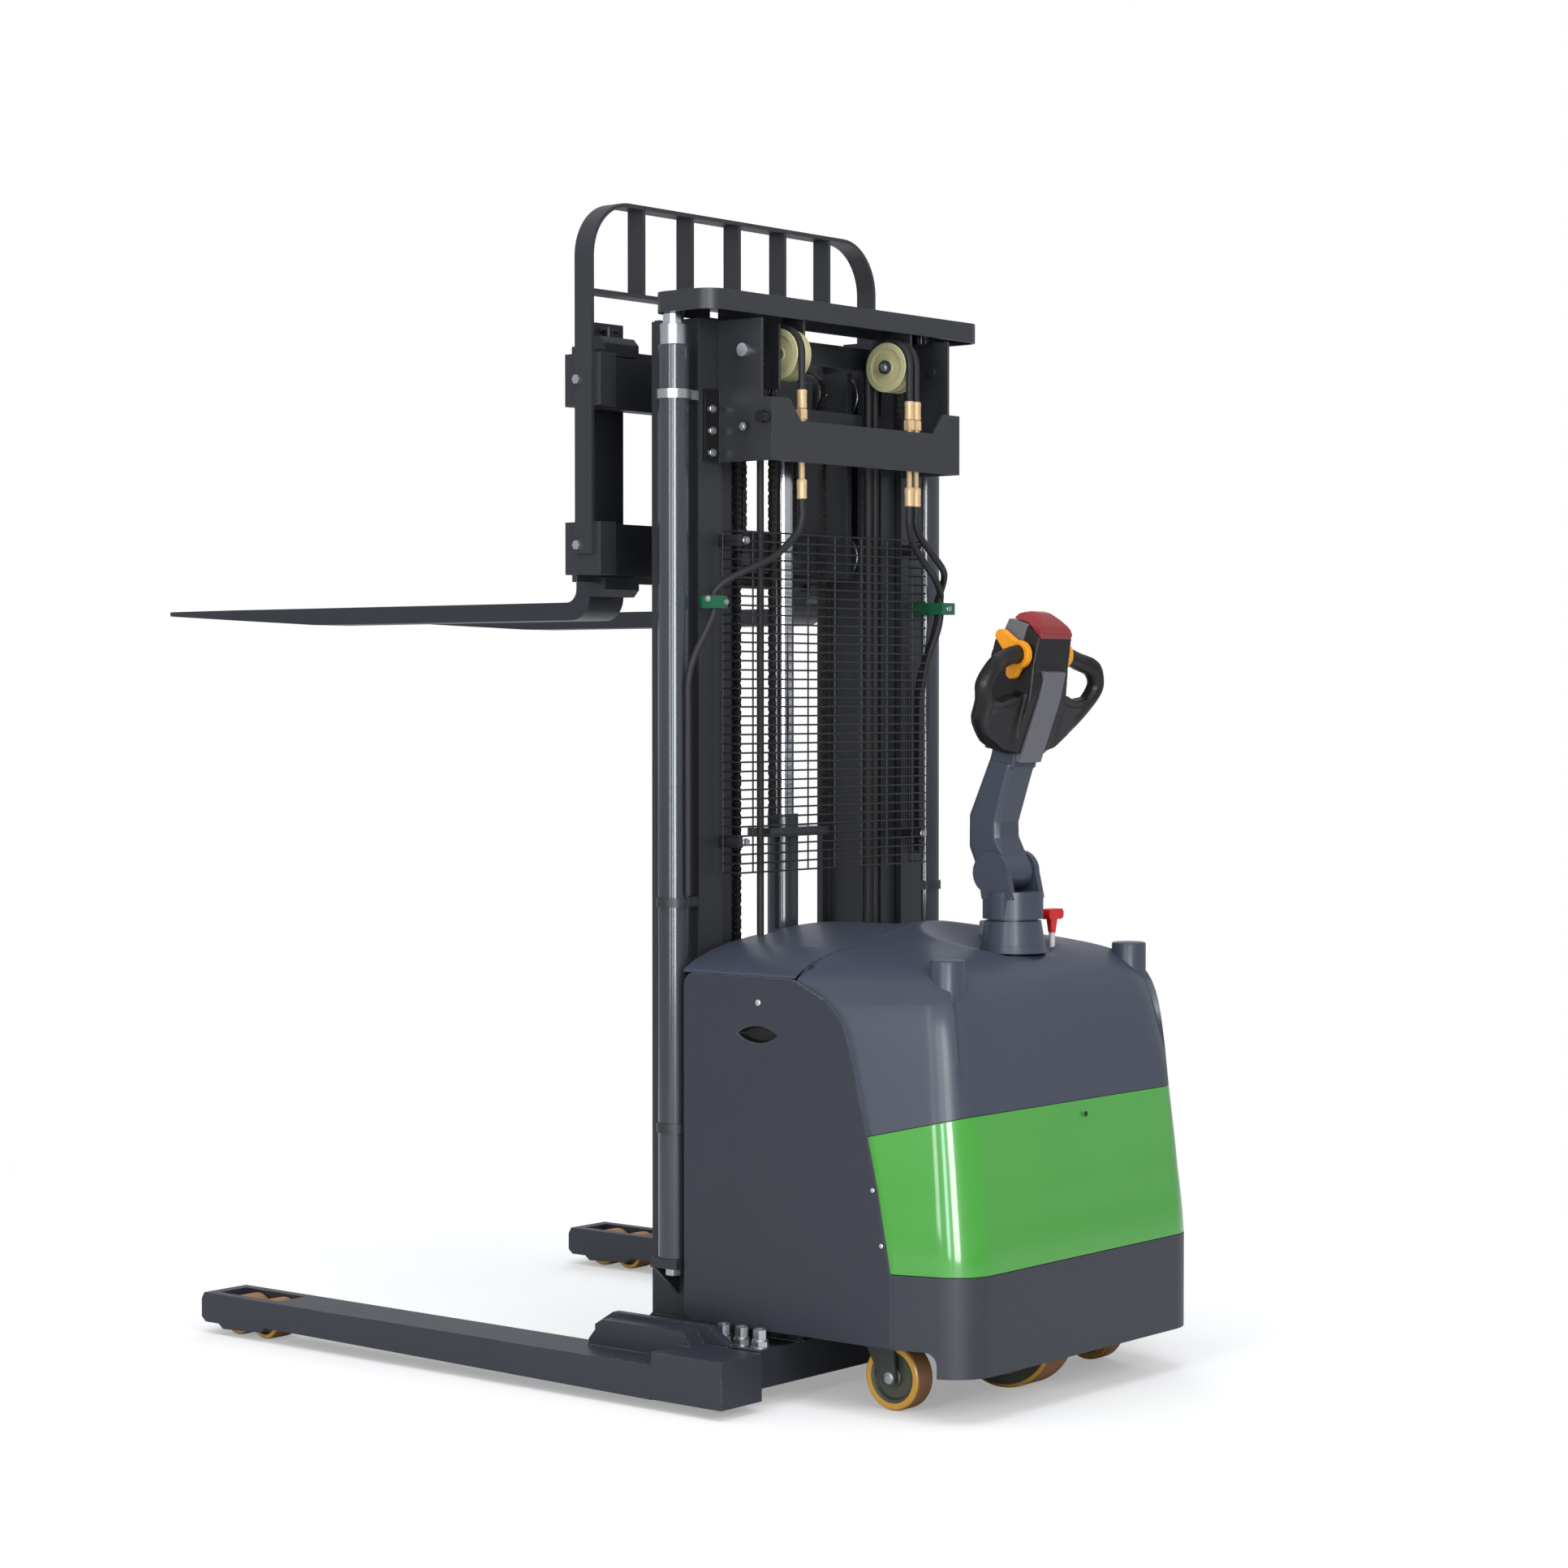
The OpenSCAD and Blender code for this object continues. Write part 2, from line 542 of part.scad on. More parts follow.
// Hoses and their couplings
hose_x = -118;
hose_pulley_ys = [176, -168];     // near and far hose pulley
hose_r = 7;
hose_groove = 11;                  // from the middle of a hose pulley to its grooves
hose_ys = [hose_pulley_ys[0] + hose_groove, hose_pulley_ys[1] + hose_groove, hose_pulley_ys[1] - hose_groove];
fitting_z = [tie[3] - 118, tie[3] + 22];
module hose_fittings() at_mast() color([0.83, 0.66, 0.36]) for (y = hose_ys) {
    rod_z(hose_x, y, tie[3] - 74, tie[3] - 34, 8);
    translate([hose_x, y, tie[3] - 34]) hex_head(20, 10);
    rod_z(hose_x, y, tie[3] - 24, fitting_z[1], 10);
    rod_z(hose_x, y, tie[3] - 150, tie[3] - 74, 5.5);
    rod_z(hose_x, y, tie[3] - 190, tie[3] - 150, 10);
}
hose_end = fitting_z[0] - 72 - move_gap;
clamp_z = 1500;
hose_clamp_near = [-46, 364];
hose_clamp_far = [[-64, -334], [-44, -352]];
route_near = [[hose_x, hose_ys[0], hose_end - 12], [hose_x, hose_ys[0], hose_end - 34], [-114, 198, 1634],
    [-104, 250, 1590], [-84, 310, 1562], [-60, 350, 1538], [-46, 364, 1516], [-46, 364, 1484],
    [-38, 374, 1450], [-22, 392, 1400], [-14, 402, 1350], [-13, 402, 1280], [-13, 402, 940]];
route_far = [[hose_x, hose_ys[1], hose_end - 12], [hose_x, hose_ys[1], hose_end - 34], [-112, -176, 1630],
    [-104, -226, 1590], [-88, -284, 1560], [-70, -326, 1532], [-64, -334, 1516], [-64, -334, 1484],
    [-60, -328, 1450], [-46, -318, 1400], [-34, -314, 1340], [-30, -312, 1280], [-30, -312, 1000]];
route_far_outer = [[hose_x, hose_ys[2], hose_end - 12], [hose_x, hose_ys[2], hose_end - 34], [-117, -196, 1640],
    [-110, -248, 1606], [-90, -312, 1572], [-54, -348, 1534], [-44, -352, 1516], [-44, -352, 1484],
    [-38, -344, 1440], [-24, -334, 1390], [-12, -330, 1340], [-10, -330, 1280], [-10, -330, 1000]];
module supply_hoses() at_mast() color([0.1, 0.1, 0.1]) for (route = [route_near, route_far, route_far_outer])
    swept(concat([[route[0][0], route[0][1], hose_end]], smooth(route, 3)), hose_r);
module hose_clamps() at_mast() color([0.1, 0.45, 0.3]) {
    difference() {
        union() {
            block([-56, 336, clamp_z - 12], [-0.5, 354, clamp_z + 12]);
            block([-60, 350, clamp_z - 12], [-30, 380, clamp_z + 12]);
        }
        rod_z(hose_clamp_near[0], hose_clamp_near[1], clamp_z - 13, clamp_z + 13, hose_r + 1);
    }
    difference() {
        block([-78, -366, clamp_z - 12], [-0.5, -322, clamp_z + 12]);
        for (p = hose_clamp_far) rod_z(p[0], p[1], clamp_z - 13, clamp_z + 13, hose_r + 1);
    }
}

// Fasteners of the panels
module screw_y(x, z, y, r, h) both_sides() rod_y(x, z, y, y + h, r);
module panel_screws() at_mast() color([0.8, 0.81, 0.83]) {
    screw_y(seam_x + 89, 747, half_body, 6, 2.5);
    for (p = [[190, 419], [170, 319]]) screw_y(-body_length + p[0], p[1], half_body, 4.5, 2);
    rod_x(0, 526, -body_length + 25, -body_length + 27.6, 5);
}
deck_rear = -body_length + cover_wall + move_gap;
deck_half = half_body - sheet - move_gap;
clamp_x = [-222, -178, -134];
clamp_y = 440;
clamp_r = 10;
module leg_clamp_bolts() at_mast() color([0.75, 0.76, 0.78]) both_sides() for (x = clamp_x)
    translate([x, clamp_y, beam[3]]) {
        translate([0, 0, 12]) hex_head(24, 24);
        hex_head(30, 12);
        translate([0, 0, -beam_wall]) cylinder(h = beam_wall + 1, r = clamp_r - shaft_gap);
    }

knob_stem_r = 6;
key_r = 9;
module emergency_knob() at_mast() translate([knob_at[0], knob_at[1], 0]) color("red") {
    rod_z(0, 0, hood_top - 40, hood_top + 14, knob_stem_r);
    translate([0, 0, hood_top + 10]) cylinder(h = 34, r1 = 7, r2 = 12);
    slab_x(-11, 22) round_rect([-24, hood_top + 36], [24, hood_top + 56], 8);
}
module ignition_key() at_mast() translate([key_at[0], key_at[1], 0]) color("silver") {
    rod_z(0, 0, hood_top - 40, hood_top + 4, key_r);
    slab_y(-1.5, 3) round_rect([-12, hood_top + 3], [12, hood_top + 30], 6);
}

// Straddle legs
module straddle_leg() color([0.27, 0.28, 0.31]) {
    tube = [beam[0] + beam_wall + move_gap, beam[1] - beam_wall - move_gap,
        beam[2] + beam_wall + move_gap, beam[3] - beam_wall - move_gap];
    wall = 6;
    difference() {
        union() {
            // box at the rear end, where the leg meets the cross beam
            block([-278, leg_in, 32], [beam[1], leg_out, 109]);
            // long leg
            slab_y(leg_in, leg_width) polygon([[beam[1] - overlap, leg_bottom], [leg_reach - 190, leg_bottom],
                [leg_reach - 178, leg_bottom - 10], [leg_reach - 66, leg_bottom - 10],
                [leg_reach - 52, leg_bottom], [leg_reach - 12, leg_bottom], [leg_reach, leg_bottom + 10],
                [leg_reach, leg_top - 14], [leg_reach - 8, leg_top], [beam[1] - overlap, leg_top]]);
            // tube that slides in the cross beam
            block([tube[0], beam_end - 220, tube[2]], [tube[1], leg_in + overlap, tube[3]]);
            // gusset along the inner side
            slab_y(leg_in - 16, 16 + overlap) polygon([[-196, beam[3] + 2], [beam[1] + 2, beam[3] + 2], [beam[1] + 2, 96], [137, 96], [137, 116],
                [90, 145], [-150, 145], [-196, 114]]);
        }
        // hollow tubes
        block([tube[0] + wall, beam_end - 221, tube[2] + wall], [tube[1] - wall, leg_out - wall, tube[3] - wall]);
        block([beam[1] - 2, leg_in + wall, leg_bottom + wall],
            [leg_reach - 220, leg_out - wall, leg_top - wall]);
        // opening over and under the load wheels
        block([leg_reach - 162 - load_z - 8, leg_in + (leg_width - load_wheel_w) / 2 - 4, 0],
            [leg_reach - 81 + load_z + 8, leg_out - (leg_width - load_wheel_w) / 2 + 4, leg_top + 1]);
    }
    // gusset over the top of the leg
    slab_y(leg_in, 40) polygon([[-140, 109], [beam[1], 109], [beam[1], leg_top], [118, leg_top], [118, 96], [84, 136],
        [-120, 136]]);
    for (x = load_axles) rod_y(x, load_z, leg_in + 6, leg_out - 6, axle_r);
}
axle_r = 10;
module load_wheel(x, y) translate([x, y, load_z]) rotate([-90, 0, 0]) {
    color([0.93, 0.66, 0.13]) wheel_ring(load_wheel_d / 2, load_wheel_d / 2 - 9, load_wheel_w, 3);
    color("gray") wheel_ring(load_wheel_d / 2 - 9, axle_r + shaft_gap, load_wheel_w - 2, 1);
}
// Ring centred on the origin, with its edges broken
module wheel_ring(r, bore, w, edge) rotate_extrude() polygon([[bore, -w / 2], [r - edge, -w / 2],
    [r, -w / 2 + edge], [r, w / 2 - edge], [r - edge, w / 2], [bore, w / 2]]);
load_y = leg_out - leg_width / 2;
module straddle_leg_left() at_mast() straddle_leg();
module straddle_leg_right() at_mast() mirror([0, 1, 0]) straddle_leg();
module load_wheel_left_front() at_mast() load_wheel(load_axles[0], load_y);
module load_wheel_left_rear() at_mast() load_wheel(load_axles[1], load_y);
module load_wheel_right_front() at_mast() load_wheel(load_axles[0], -load_y);
module load_wheel_right_rear() at_mast() load_wheel(load_axles[1], -load_y);

// Drive unit
turntable_r = 119;
drive_axle_r = 25;
module steering_turntable() at_mast() translate([-drive_offset, 0, 0]) color([0.35, 0.36, 0.38]) {
    rod_z(0, 0, bridge_z + bridge_t + move_gap, bridge_z + bridge_t + 20, turntable_r + 24);
    rod_z(0, 0, drive_wheel_d + 10, bridge_z + bridge_t + 1, turntable_r);
    // gear case beside the wheel
    slab_y(-102, 54) {
        translate([0, drive_z]) circle(62);
        rect([-62, drive_z], [62, drive_wheel_d + 11]);
    }
    rod_y(0, drive_z, -drive_wheel_w / 2 - 10, drive_wheel_w / 2 - 12, drive_axle_r);
}
module drive_motor() at_mast() translate([-drive_offset, 0, bridge_z + bridge_t + 20]) color([0.16, 0.17, 0.18]) {
    cylinder(h = 24, r = 96);
    translate([0, 0, 24]) cylinder(h = 190, r = 84);
    for (k = [0 : 11]) rotate(k * 30) block([83, -3, 40], [91, 3, 200]);
    translate([0, 0, 214]) cylinder(h = 30, r = 70);
}
module drive_wheel() at_mast() translate([-drive_offset, 0, drive_z]) rotate([-90, 0, 0]) {
    color([0.93, 0.66, 0.13]) wheel_ring(drive_wheel_d / 2, drive_wheel_d / 2 - 28, drive_wheel_w, 6);
    color("dimgray") difference() {
        wheel_ring(drive_wheel_d / 2 - 28, drive_axle_r + shaft_gap, drive_wheel_w - 12, 2);
        translate([0, 0, drive_wheel_w / 2 - 26]) rotate_extrude() rect([drive_axle_r + 14, 0], [drive_wheel_d / 2 - 40, 40]);
        for (k = [0 : 4]) rotate(72 * k) translate([drive_axle_r + 28, 0, -50]) cylinder(h = 100, r = 8);
    }
}

// Casters
caster_stem_r = 12;
caster_axle_r = 7;
module caster_fork() color([0.4, 0.41, 0.42]) {
    rod_z(0, 0, deck_z - 12, deck_z - move_gap, 36);
    rod_z(0, 0, deck_z - 10, deck_z + deck_t + 24, caster_stem_r);
    slab_y(-caster_w / 2 - 9, caster_w + 18) rect([-34, deck_z - 34], [34, deck_z - 11]);
    both_sides() slab_y(caster_w / 2 + 2, 7) polygon([[-34, deck_z - 12], [34, deck_z - 12], [20, 110],
        [-caster_trail + 14, caster_z - 12], [-caster_trail - 14, caster_z - 12], [-caster_trail - 14, caster_z + 10]]);
    rod_y(-caster_trail, caster_z, -caster_w / 2 - 12, caster_w / 2 + 12, caster_axle_r);
}
module caster_wheel() translate([-caster_trail, 0, caster_z]) rotate([-90, 0, 0]) {
    color([0.93, 0.66, 0.13]) wheel_ring(caster_d / 2, caster_d / 2 - 14, caster_w, 7);
    color([0.35, 0.37, 0.3]) wheel_ring(caster_d / 2 - 14, caster_axle_r + shaft_gap, caster_w - 4, 2);
}
module caster_fork_left() at_mast() translate([caster_x, caster_span / 2, 0]) caster_fork();
module caster_fork_right() at_mast() translate([caster_x, -caster_span / 2, 0]) caster_fork();
module caster_wheel_left() at_mast() translate([caster_x, caster_span / 2, 0]) caster_wheel();
module caster_wheel_right() at_mast() translate([caster_x, -caster_span / 2, 0]) caster_wheel();

// Tiller
tiller_hole_r = 70;
pivot_x = -drive_offset + 16;
pivot_r = 10;
ear_y = 40;                        // inner face of the yoke's ears
module tiller_base() at_mast() color([0.27, 0.3, 0.35]) {
    base_r = tiller_base_d / 2;
    // column down to the drive motor
    rod_z(-drive_offset, 0, bridge_z + bridge_t + 264, hood_top - 8, 30);
    translate([-drive_offset, 0, hood_top - 8]) cylinder(h = 46, r1 = base_r + 4, r2 = base_r - 4);
    rod_z(-drive_offset, 0, hood_top + 37, hood_top + 42, base_r - 10);
    difference() {
        rod_z(-drive_offset, 0, hood_top + 42, tiller_pivot_z - 36, base_r);
        rod_y(pivot_x, tiller_pivot_z, -ear_y, ear_y, 52);
    }
    both_sides() intersection() {
        slab_y(ear_y, base_r - ear_y - 4) {
            translate([pivot_x, tiller_pivot_z]) circle(40);
            polygon([[pivot_x - 40, tiller_pivot_z], [pivot_x + 40, tiller_pivot_z],
                [-drive_offset + base_r - 22, tiller_pivot_z - 50], [-drive_offset - base_r + 22, tiller_pivot_z - 50]]);
        }
        union() {
            rod_z(-drive_offset, 0, tiller_pivot_z - 60, tiller_pivot_z + 60, base_r + 6);
            rod_y(pivot_x, tiller_pivot_z, -base_r, base_r, 40);
        }
    }
    rod_y(pivot_x, tiller_pivot_z, -ear_y - 10, ear_y + 10, pivot_r);
}
// The arm leans forward from its pivot and bends back to the head
arm_bend = [-drive_offset + 62, 1062];
head_at = [-drive_offset + 6, 1197];
module arm_section(p, w, d, angle) translate([p[0], 0, p[1]]) rotate([0, angle, 0])
    linear_extrude(0.1) { rect([-d / 2, -w / 2 + 10], [d / 2, w / 2 - 10]); rect([-d / 2 + 10, -w / 2], [d / 2 - 10, w / 2]); }
module tiller_arm() at_mast() color([0.29, 0.32, 0.37]) {
    difference() {
        union() {
            rod_y(pivot_x, tiller_pivot_z, -ear_y + move_gap, ear_y - move_gap, 36);
            hull() {
                rod_y(pivot_x, tiller_pivot_z, -ear_y + move_gap, ear_y - move_gap, 34);
                arm_section([arm_bend[0] - 8, arm_bend[1] - 20], 74, 62, 20);
            }
            hull() {
                arm_section([arm_bend[0] - 8, arm_bend[1] - 20], 74, 62, 20);
                arm_section([arm_bend[0] - 8, arm_bend[1] + 24], 70, 58, -14);
            }
            hull() {
                arm_section([arm_bend[0] - 8, arm_bend[1] + 24], 70, 58, -14);
                arm_section([head_at[0] + 2, head_at[1] - 3], 66, 52, -head_lean);
            }
            // tongue that the head is clamped on
            in_head_only() block([-23.7, -29.7, -8], [21.7, 29.7, 33.7]);
        }
        rod_y(pivot_x, tiller_pivot_z, -60, 60, pivot_r + shaft_gap);
    }
}
// The head has its own frame: +Z along the head, +X to its front
module in_head_only() translate([head_at[0], 0, head_at[1]]) rotate([0, -head_lean, 0]) children();
module in_head() at_mast() in_head_only() children();
head_top = [270, 252];             // height of the housing at its front and at its back
root = [-25, 220];                 // axis of the grips' roots and of the paddles
cover_half = 34;
module head_side() polygon([[34, 0], [42, 60], [46, 150], [45, 232], [38, head_top[0]], [-8, head_top[0]],
    [-60, head_top[1]], [-58, 200], [-54, 120], [-42, 8]]);
module head_front() polygon([[-46, 0], [-56, 40], [-60, 120], [-58, 200], [-52, head_top[0]],
    [52, head_top[0]], [58, 200], [60, 120], [56, 40], [46, 0]]);
module head_block() intersection() {
    slab_y(-75, 150) head_side();
    slab_x(-75, 150) head_front();
}
module tiller_head() in_head() color([0.12, 0.12, 0.13]) difference() {
    union() {
        head_block();
        both_sides() {
            rod_y(root[0], root[1], 40, 84, grip_d / 2);
            swept(smooth(grip_route, 3), grip_d / 2, 12);
            grip_web();
        }
    }
    // seat of the cover behind, and of the panel in front
    slab_y(-cover_half - 0.2, 2 * cover_half + 0.4) polygon(cover_seat);
    slab_y(-76, 152) polygon([[-8.2, 234], [-8.2, 290], [80, 290], [80, 234]]);
    rod_z(-30, 0, 200, 290, cap_stem_r + shaft_gap);
    block([-24, -30, -1], [22, 30, 34]);
    button_seat(0, 204, 26, 22);
}
grip_out = grip_span / 2 - grip_d / 2;
grip_route = [[root[0], 78, root[1]], [root[0], 90, root[1] - 1], [-28, 128, root[1] - 12],
    [-30, grip_out - 20, root[1] - 28], [-30, grip_out, 162], [-30, grip_out - 4, 132],
    [-30, grip_out - 34, 82], [-26, 108, 44], [-20, 72, 25], [-14, 30, 16]];
// Solid web between the lower half of a grip and the housing
module grip_web() slab_x(-40, 22) difference() {
    polygon([[30, 16], [72, 25], [108, 44], [grip_out - 34, 82], [grip_out - 4, 132], [grip_out, 162],
        [grip_out - 22, 120], [120, 112], [56, 142], [30, 142]]);
    translate([80, 150]) circle(24);
}
cover_seat = [[-30, -12], [-44.2, 120], [-44.2, 172], [-90, 172], [-90, -12]];
module tiller_cover() in_head() color([0.45, 0.46, 0.49]) {
    // cover along the back of the housing
    slab_y(-cover_half, 2 * cover_half) polygon([[-30.5, -8], [-44.5, 120], [-44.5, 171.7],
        [-58, 171.7], [-59, 120], [-46, -8]]);
    // panel over the front of the top, with the buttons' seats
    difference() {
        intersection() {
            head_block();
            slab_y(-76, 152) rect([-8, 234.3], [80, 290]);
        }
        for (y = [-20, 20]) button_seat(y, 252, 26, 22);
        rod_z(-30, 0, 200, 290, cap_stem_r + 12);
    }
}
module throttle_paddles() in_head() color([1, 0.68, 0.05]) both_sides() difference() {
    slab_y(61, 15) translate(root) {
        circle(27);
        rotate(30) paddle_wing(62);
        rotate(-84) paddle_wing(46);
    }
    rod_y(root[0], root[1], 60, 80, grip_d / 2 + move_gap);
}
module paddle_wing(length) {
    polygon([[0, -20], [length - 10, -12], [length - 10, 12], [0, 20]]);
    translate([length - 10, 0]) circle(12);
}
cap_stem_r = 8;
cap_lift = 2.8;                    // gap under the cap that its travel uses
module belly_button() in_head() color([0.62, 0.13, 0.15]) {
    intersection() {
        translate([0, 0, cap_lift]) slab_y(-60, 120) polygon([[30, head_top[0]], [-8, head_top[0]], [-60, head_top[1]],
            [-62, 262], [-52, 276], [-34, 286], [-10, 290], [14, 288], [28, 280]]);
        slab_x(-75, 150) polygon([[-52, 240], [-50, 272], [-34, 287], [-14, 294], [14, 294], [34, 287],
            [50, 272], [52, 240]]);
    }
    rod_z(-30, 0, 204, head_top[0] + 6, cap_stem_r);
}
module button_seat(y, z, w, h) block([24, y - w / 2, z - h / 2], [60, y + w / 2, z + h / 2]);
module head_button(y, z, w, h) slab_x(27.3, 22) round_rect([y - w / 2, z - h / 2], [y + w / 2, z + h / 2], 3);
module raise_button() in_head() color([0.75, 0.76, 0.78]) head_button(20, 252, 25.2, 21.2);
module lower_button() in_head() color([0.75, 0.76, 0.78]) head_button(-20, 252, 25.2, 21.2);
module horn_button() in_head() color([0.2, 0.2, 0.2]) head_button(0, 204, 25.2, 21.2);

// Middle mast
module middle_mast() at_mast() color([0.19, 0.2, 0.22]) both_sides() {
    x = stage_step;
    difference() {
        translate([0, 0, middle_foot]) linear_extrude(top_plate_under - middle_foot)
            rail_section(x, middle_web_in, middle_web_out, middle_in, middle_tip);
        // cut back around the lower roller, and around the roller at the top
        block([x - 1, middle_web_out, middle_foot - 1], [x + rail_flange + 1, middle_tip + 1, middle_foot + roller_zone]);
        block([x + rail_depth - rail_flange - 1, middle_in - 1, top_plate_under - roller_zone],
            [x + rail_depth + 1, middle_web_in, top_plate_under + 1]);
    }
    rod_y(roller_x(0), middle_foot + roller_end, middle_web_out, middle_web_out + 8, 16);
    rod_y(roller_x(0), middle_foot + roller_end, middle_web_out + 8, middle_web_out + 36, roller_r);
    rod_y(roller_x(2), top_plate_under - roller_end, middle_web_in - 4, middle_web_in, 16);
    rod_y(roller_x(2), top_plate_under - roller_end, middle_web_in - 22, middle_web_in - 4, roller_r);
    // cross plates behind the rails
    for (z = [[middle_foot + 4, middle_foot + 110], [1800, 1890]])
        block([nest_gap, 0, z[0]], [x - 4, middle_in + 24, z[1]]);
    for (z = [[middle_foot + 4, middle_foot + 110], [1800, 1890]])
        block([x - 4 - overlap, middle_in, z[0]], [x + overlap, middle_in + 24, z[1]]);
}
module top_plate() at_mast() color([0.25, 0.26, 0.28]) {
    half = side_barrel_span / 2 + 35;
    difference() {
        translate([0, 0, top_plate_under]) linear_extrude(top_plate_z - top_plate_under)
            round_rect([-100, -half], [58, half], 44);
        translate([0, 0, top_plate_under - 1]) linear_extrude(top_plate_z - top_plate_under - 9)
            round_rect([-92, -half + 8], [50, half - 8], 36);
        // the inner mast rises in front of the plate
        block([plate_front, -inner_tip - 1.5, top_plate_under - 1], [60, inner_tip + 1.5, top_plate_z + 1]);
    }
    block([plate_front - 8, -inner_tip - 2, top_plate_under], [plate_front, inner_tip + 2, top_plate_z]);
    for (y = hose_pulley_ys) {
        // hangers of the hose pulleys
        difference() {
            slab_y(y - 32, 6) pulley_hanger(hose_pulley_x, pulley_z, 26);
            rod_y(hose_pulley_x, pulley_z, y - 33, y, pulley_pin_r - 1);
        }
        rod_y(hose_pulley_x, pulley_z, y - 32, y + 24, pulley_pin_r);
        rod_y(hose_pulley_x, pulley_z, y + 22 + move_gap, y + 27, 14);
        rod_y(hose_pulley_x, pulley_z, y - 30, y - 22 - move_gap, 14);
    }
    both_sides() {
        // hangers of the chain pulleys
        slab_y(chain_y + 14, 6) pulley_hanger(chain_back_x + chain_pulley_r, pulley_z, 20);
        rod_y(chain_back_x + chain_pulley_r, pulley_z, chain_y - 12, chain_y + 16, pulley_pin_r);
    }
}
plate_front = 2 * stage_step - 2;
module pulley_hanger(x, z, r) {
    translate([x, z]) circle(r);
    rect([x - r, z], [x + r, top_plate_z - 8]);
}
module side_lift_rods() at_mast() color([0.8, 0.81, 0.83]) both_sides() {
    rod_z(side_barrel_x, side_barrel_span / 2, cylinder_foot_z + 80, top_plate_z - 10, side_rod_d / 2);
    rod_z(side_barrel_x, side_barrel_span / 2, cylinder_foot_z + 50, cylinder_foot_z + 80, side_barrel_d / 2 - 5 - shaft_gap);
}
hose_pulley_x = hose_x + hose_pulley_d / 2 + 2;

pulley_pin_r = 8;
chain_y = 215;
chain_front_x = 22;
chain_pulley_r = 33;
chain_back_x = chain_front_x - 2 * chain_pulley_r;
module hose_pulleys() at_mast() color([0.78, 0.75, 0.58]) for (y = hose_pulley_ys)
    translate([hose_pulley_x, y, pulley_z]) rotate([-90, 0, 0]) rotate_extrude() polygon([[pulley_pin_r + shaft_gap, -22], [hose_pulley_d / 2, -22],
            [hose_pulley_d / 2, -20], [hose_pulley_d / 2 - 6, -17], [hose_pulley_d / 2 - 6, -5],
            [hose_pulley_d / 2, -2], [hose_pulley_d / 2, 2], [hose_pulley_d / 2 - 6, 5],
            [hose_pulley_d / 2 - 6, 17], [hose_pulley_d / 2, 20], [hose_pulley_d / 2, 22],
            [pulley_pin_r + shaft_gap, 22]]);
module chain_pulleys() at_mast() color([0.3, 0.31, 0.33]) both_sides()
    translate([chain_back_x + chain_pulley_r, chain_y, pulley_z]) rotate([-90, 0, 0]) chain_sheave(chain_pulley_r, pulley_pin_r);
module chain_sheave(r, bore) rotate_extrude() polygon([[bore + shaft_gap, -11], [r + 3, -11], [r + 3, -9],
    [r - chain_t / 2 - 0.5, -9], [r - chain_t / 2 - 0.5, 9], [r + 3, 9], [r + 3, 11], [bore + shaft_gap, 11]]);
chain_t = 12;
chain_w = 16;

// Inner mast and the middle lift cylinder
module inner_mast() at_mast() color([0.17, 0.18, 0.2]) both_sides() {
    x = 2 * stage_step;
    difference() {
        translate([0, 0, inner_foot]) linear_extrude(inner_top - inner_foot)
            rail_section(x, inner_web_in, inner_web_out, inner_in, inner_tip);
        block([x - 1, inner_web_out, inner_foot - 1], [x + rail_flange + 1, inner_tip + 1, inner_foot + roller_zone]);
    }
    rod_y(roller_x(1), inner_foot + roller_end, inner_web_out, inner_web_out + 9, 16);
    rod_y(roller_x(1), inner_foot + roller_end, inner_web_out + 9, inner_web_out + 29, roller_r);
    // cross plates
    block([x, 0, inner_foot + 4], [x + 10, inner_in + overlap, inner_foot + 120]);
    block([x, 0, inner_top - 46], [x + 10, inner_in + overlap, inner_top]);
    // foot plate of the lift cylinder
    block([x + 9, 0, inner_foot + 10], [free_x + 38, plate_y - 20, inner_foot + 30]);
    // anchors of the stage chains and of the hoses
    block([chain_front_x - 7, chain_y - 12, inner_foot + 30], [x + overlap, chain_y + 12, inner_foot + 54]);
    block([hose_front_x - 10, 144, 292], [x + overlap, 198, 300]);
    block([x, 144, 240], [x + 10, inner_in + overlap, 310]);
}
hose_front_x = hose_x + hose_pulley_d + 4;
module free_lift_cylinder() at_mast() color([0.24, 0.26, 0.3]) difference() {
    union() {
        rod_z(free_x, 0, inner_foot + 30, free_barrel_top, free_barrel_d / 2);
        rod_z(free_x, 0, inner_foot + 30, inner_foot + 60, free_barrel_d / 2 + 6);
        // collar with the chain anchors
        block([37, -92, free_barrel_top - 44], [free_x + 16, 92, free_barrel_top - 26]);
    }
    rod_z(free_x, 0, inner_foot + 70, free_barrel_top - 30, free_barrel_d / 2 - 5);
    rod_z(free_x, 0, free_barrel_top - 31, free_barrel_top + 1, free_rod_d / 2 + shaft_gap);
}
module free_lift_rod() at_mast() color([0.82, 0.83, 0.85]) {
    rod_z(free_x, 0, free_barrel_top - 70, chain_wheel_z - 30, free_rod_d / 2);
    rod_z(free_x, 0, free_barrel_top - 90, free_barrel_top - 70, free_barrel_d / 2 - 5 - shaft_gap);
    // yoke: head block and the axle of the chain wheels
    block([free_x - 28, -60, chain_wheel_z - 46], [free_x + 28, 60, chain_wheel_z + 20]);
    rod_y(free_x, chain_wheel_z, -96, 96, wheel_pin_r);
}
wheel_pin_r = 11;
chain_wheel_r = 38;
lift_chain_y = 80;
module chain_wheels() at_mast() color([0.2, 0.2, 0.22]) both_sides()
    translate([free_x, lift_chain_y, chain_wheel_z]) rotate([-90, 0, 0]) chain_sheave(chain_wheel_r, wheel_pin_r);

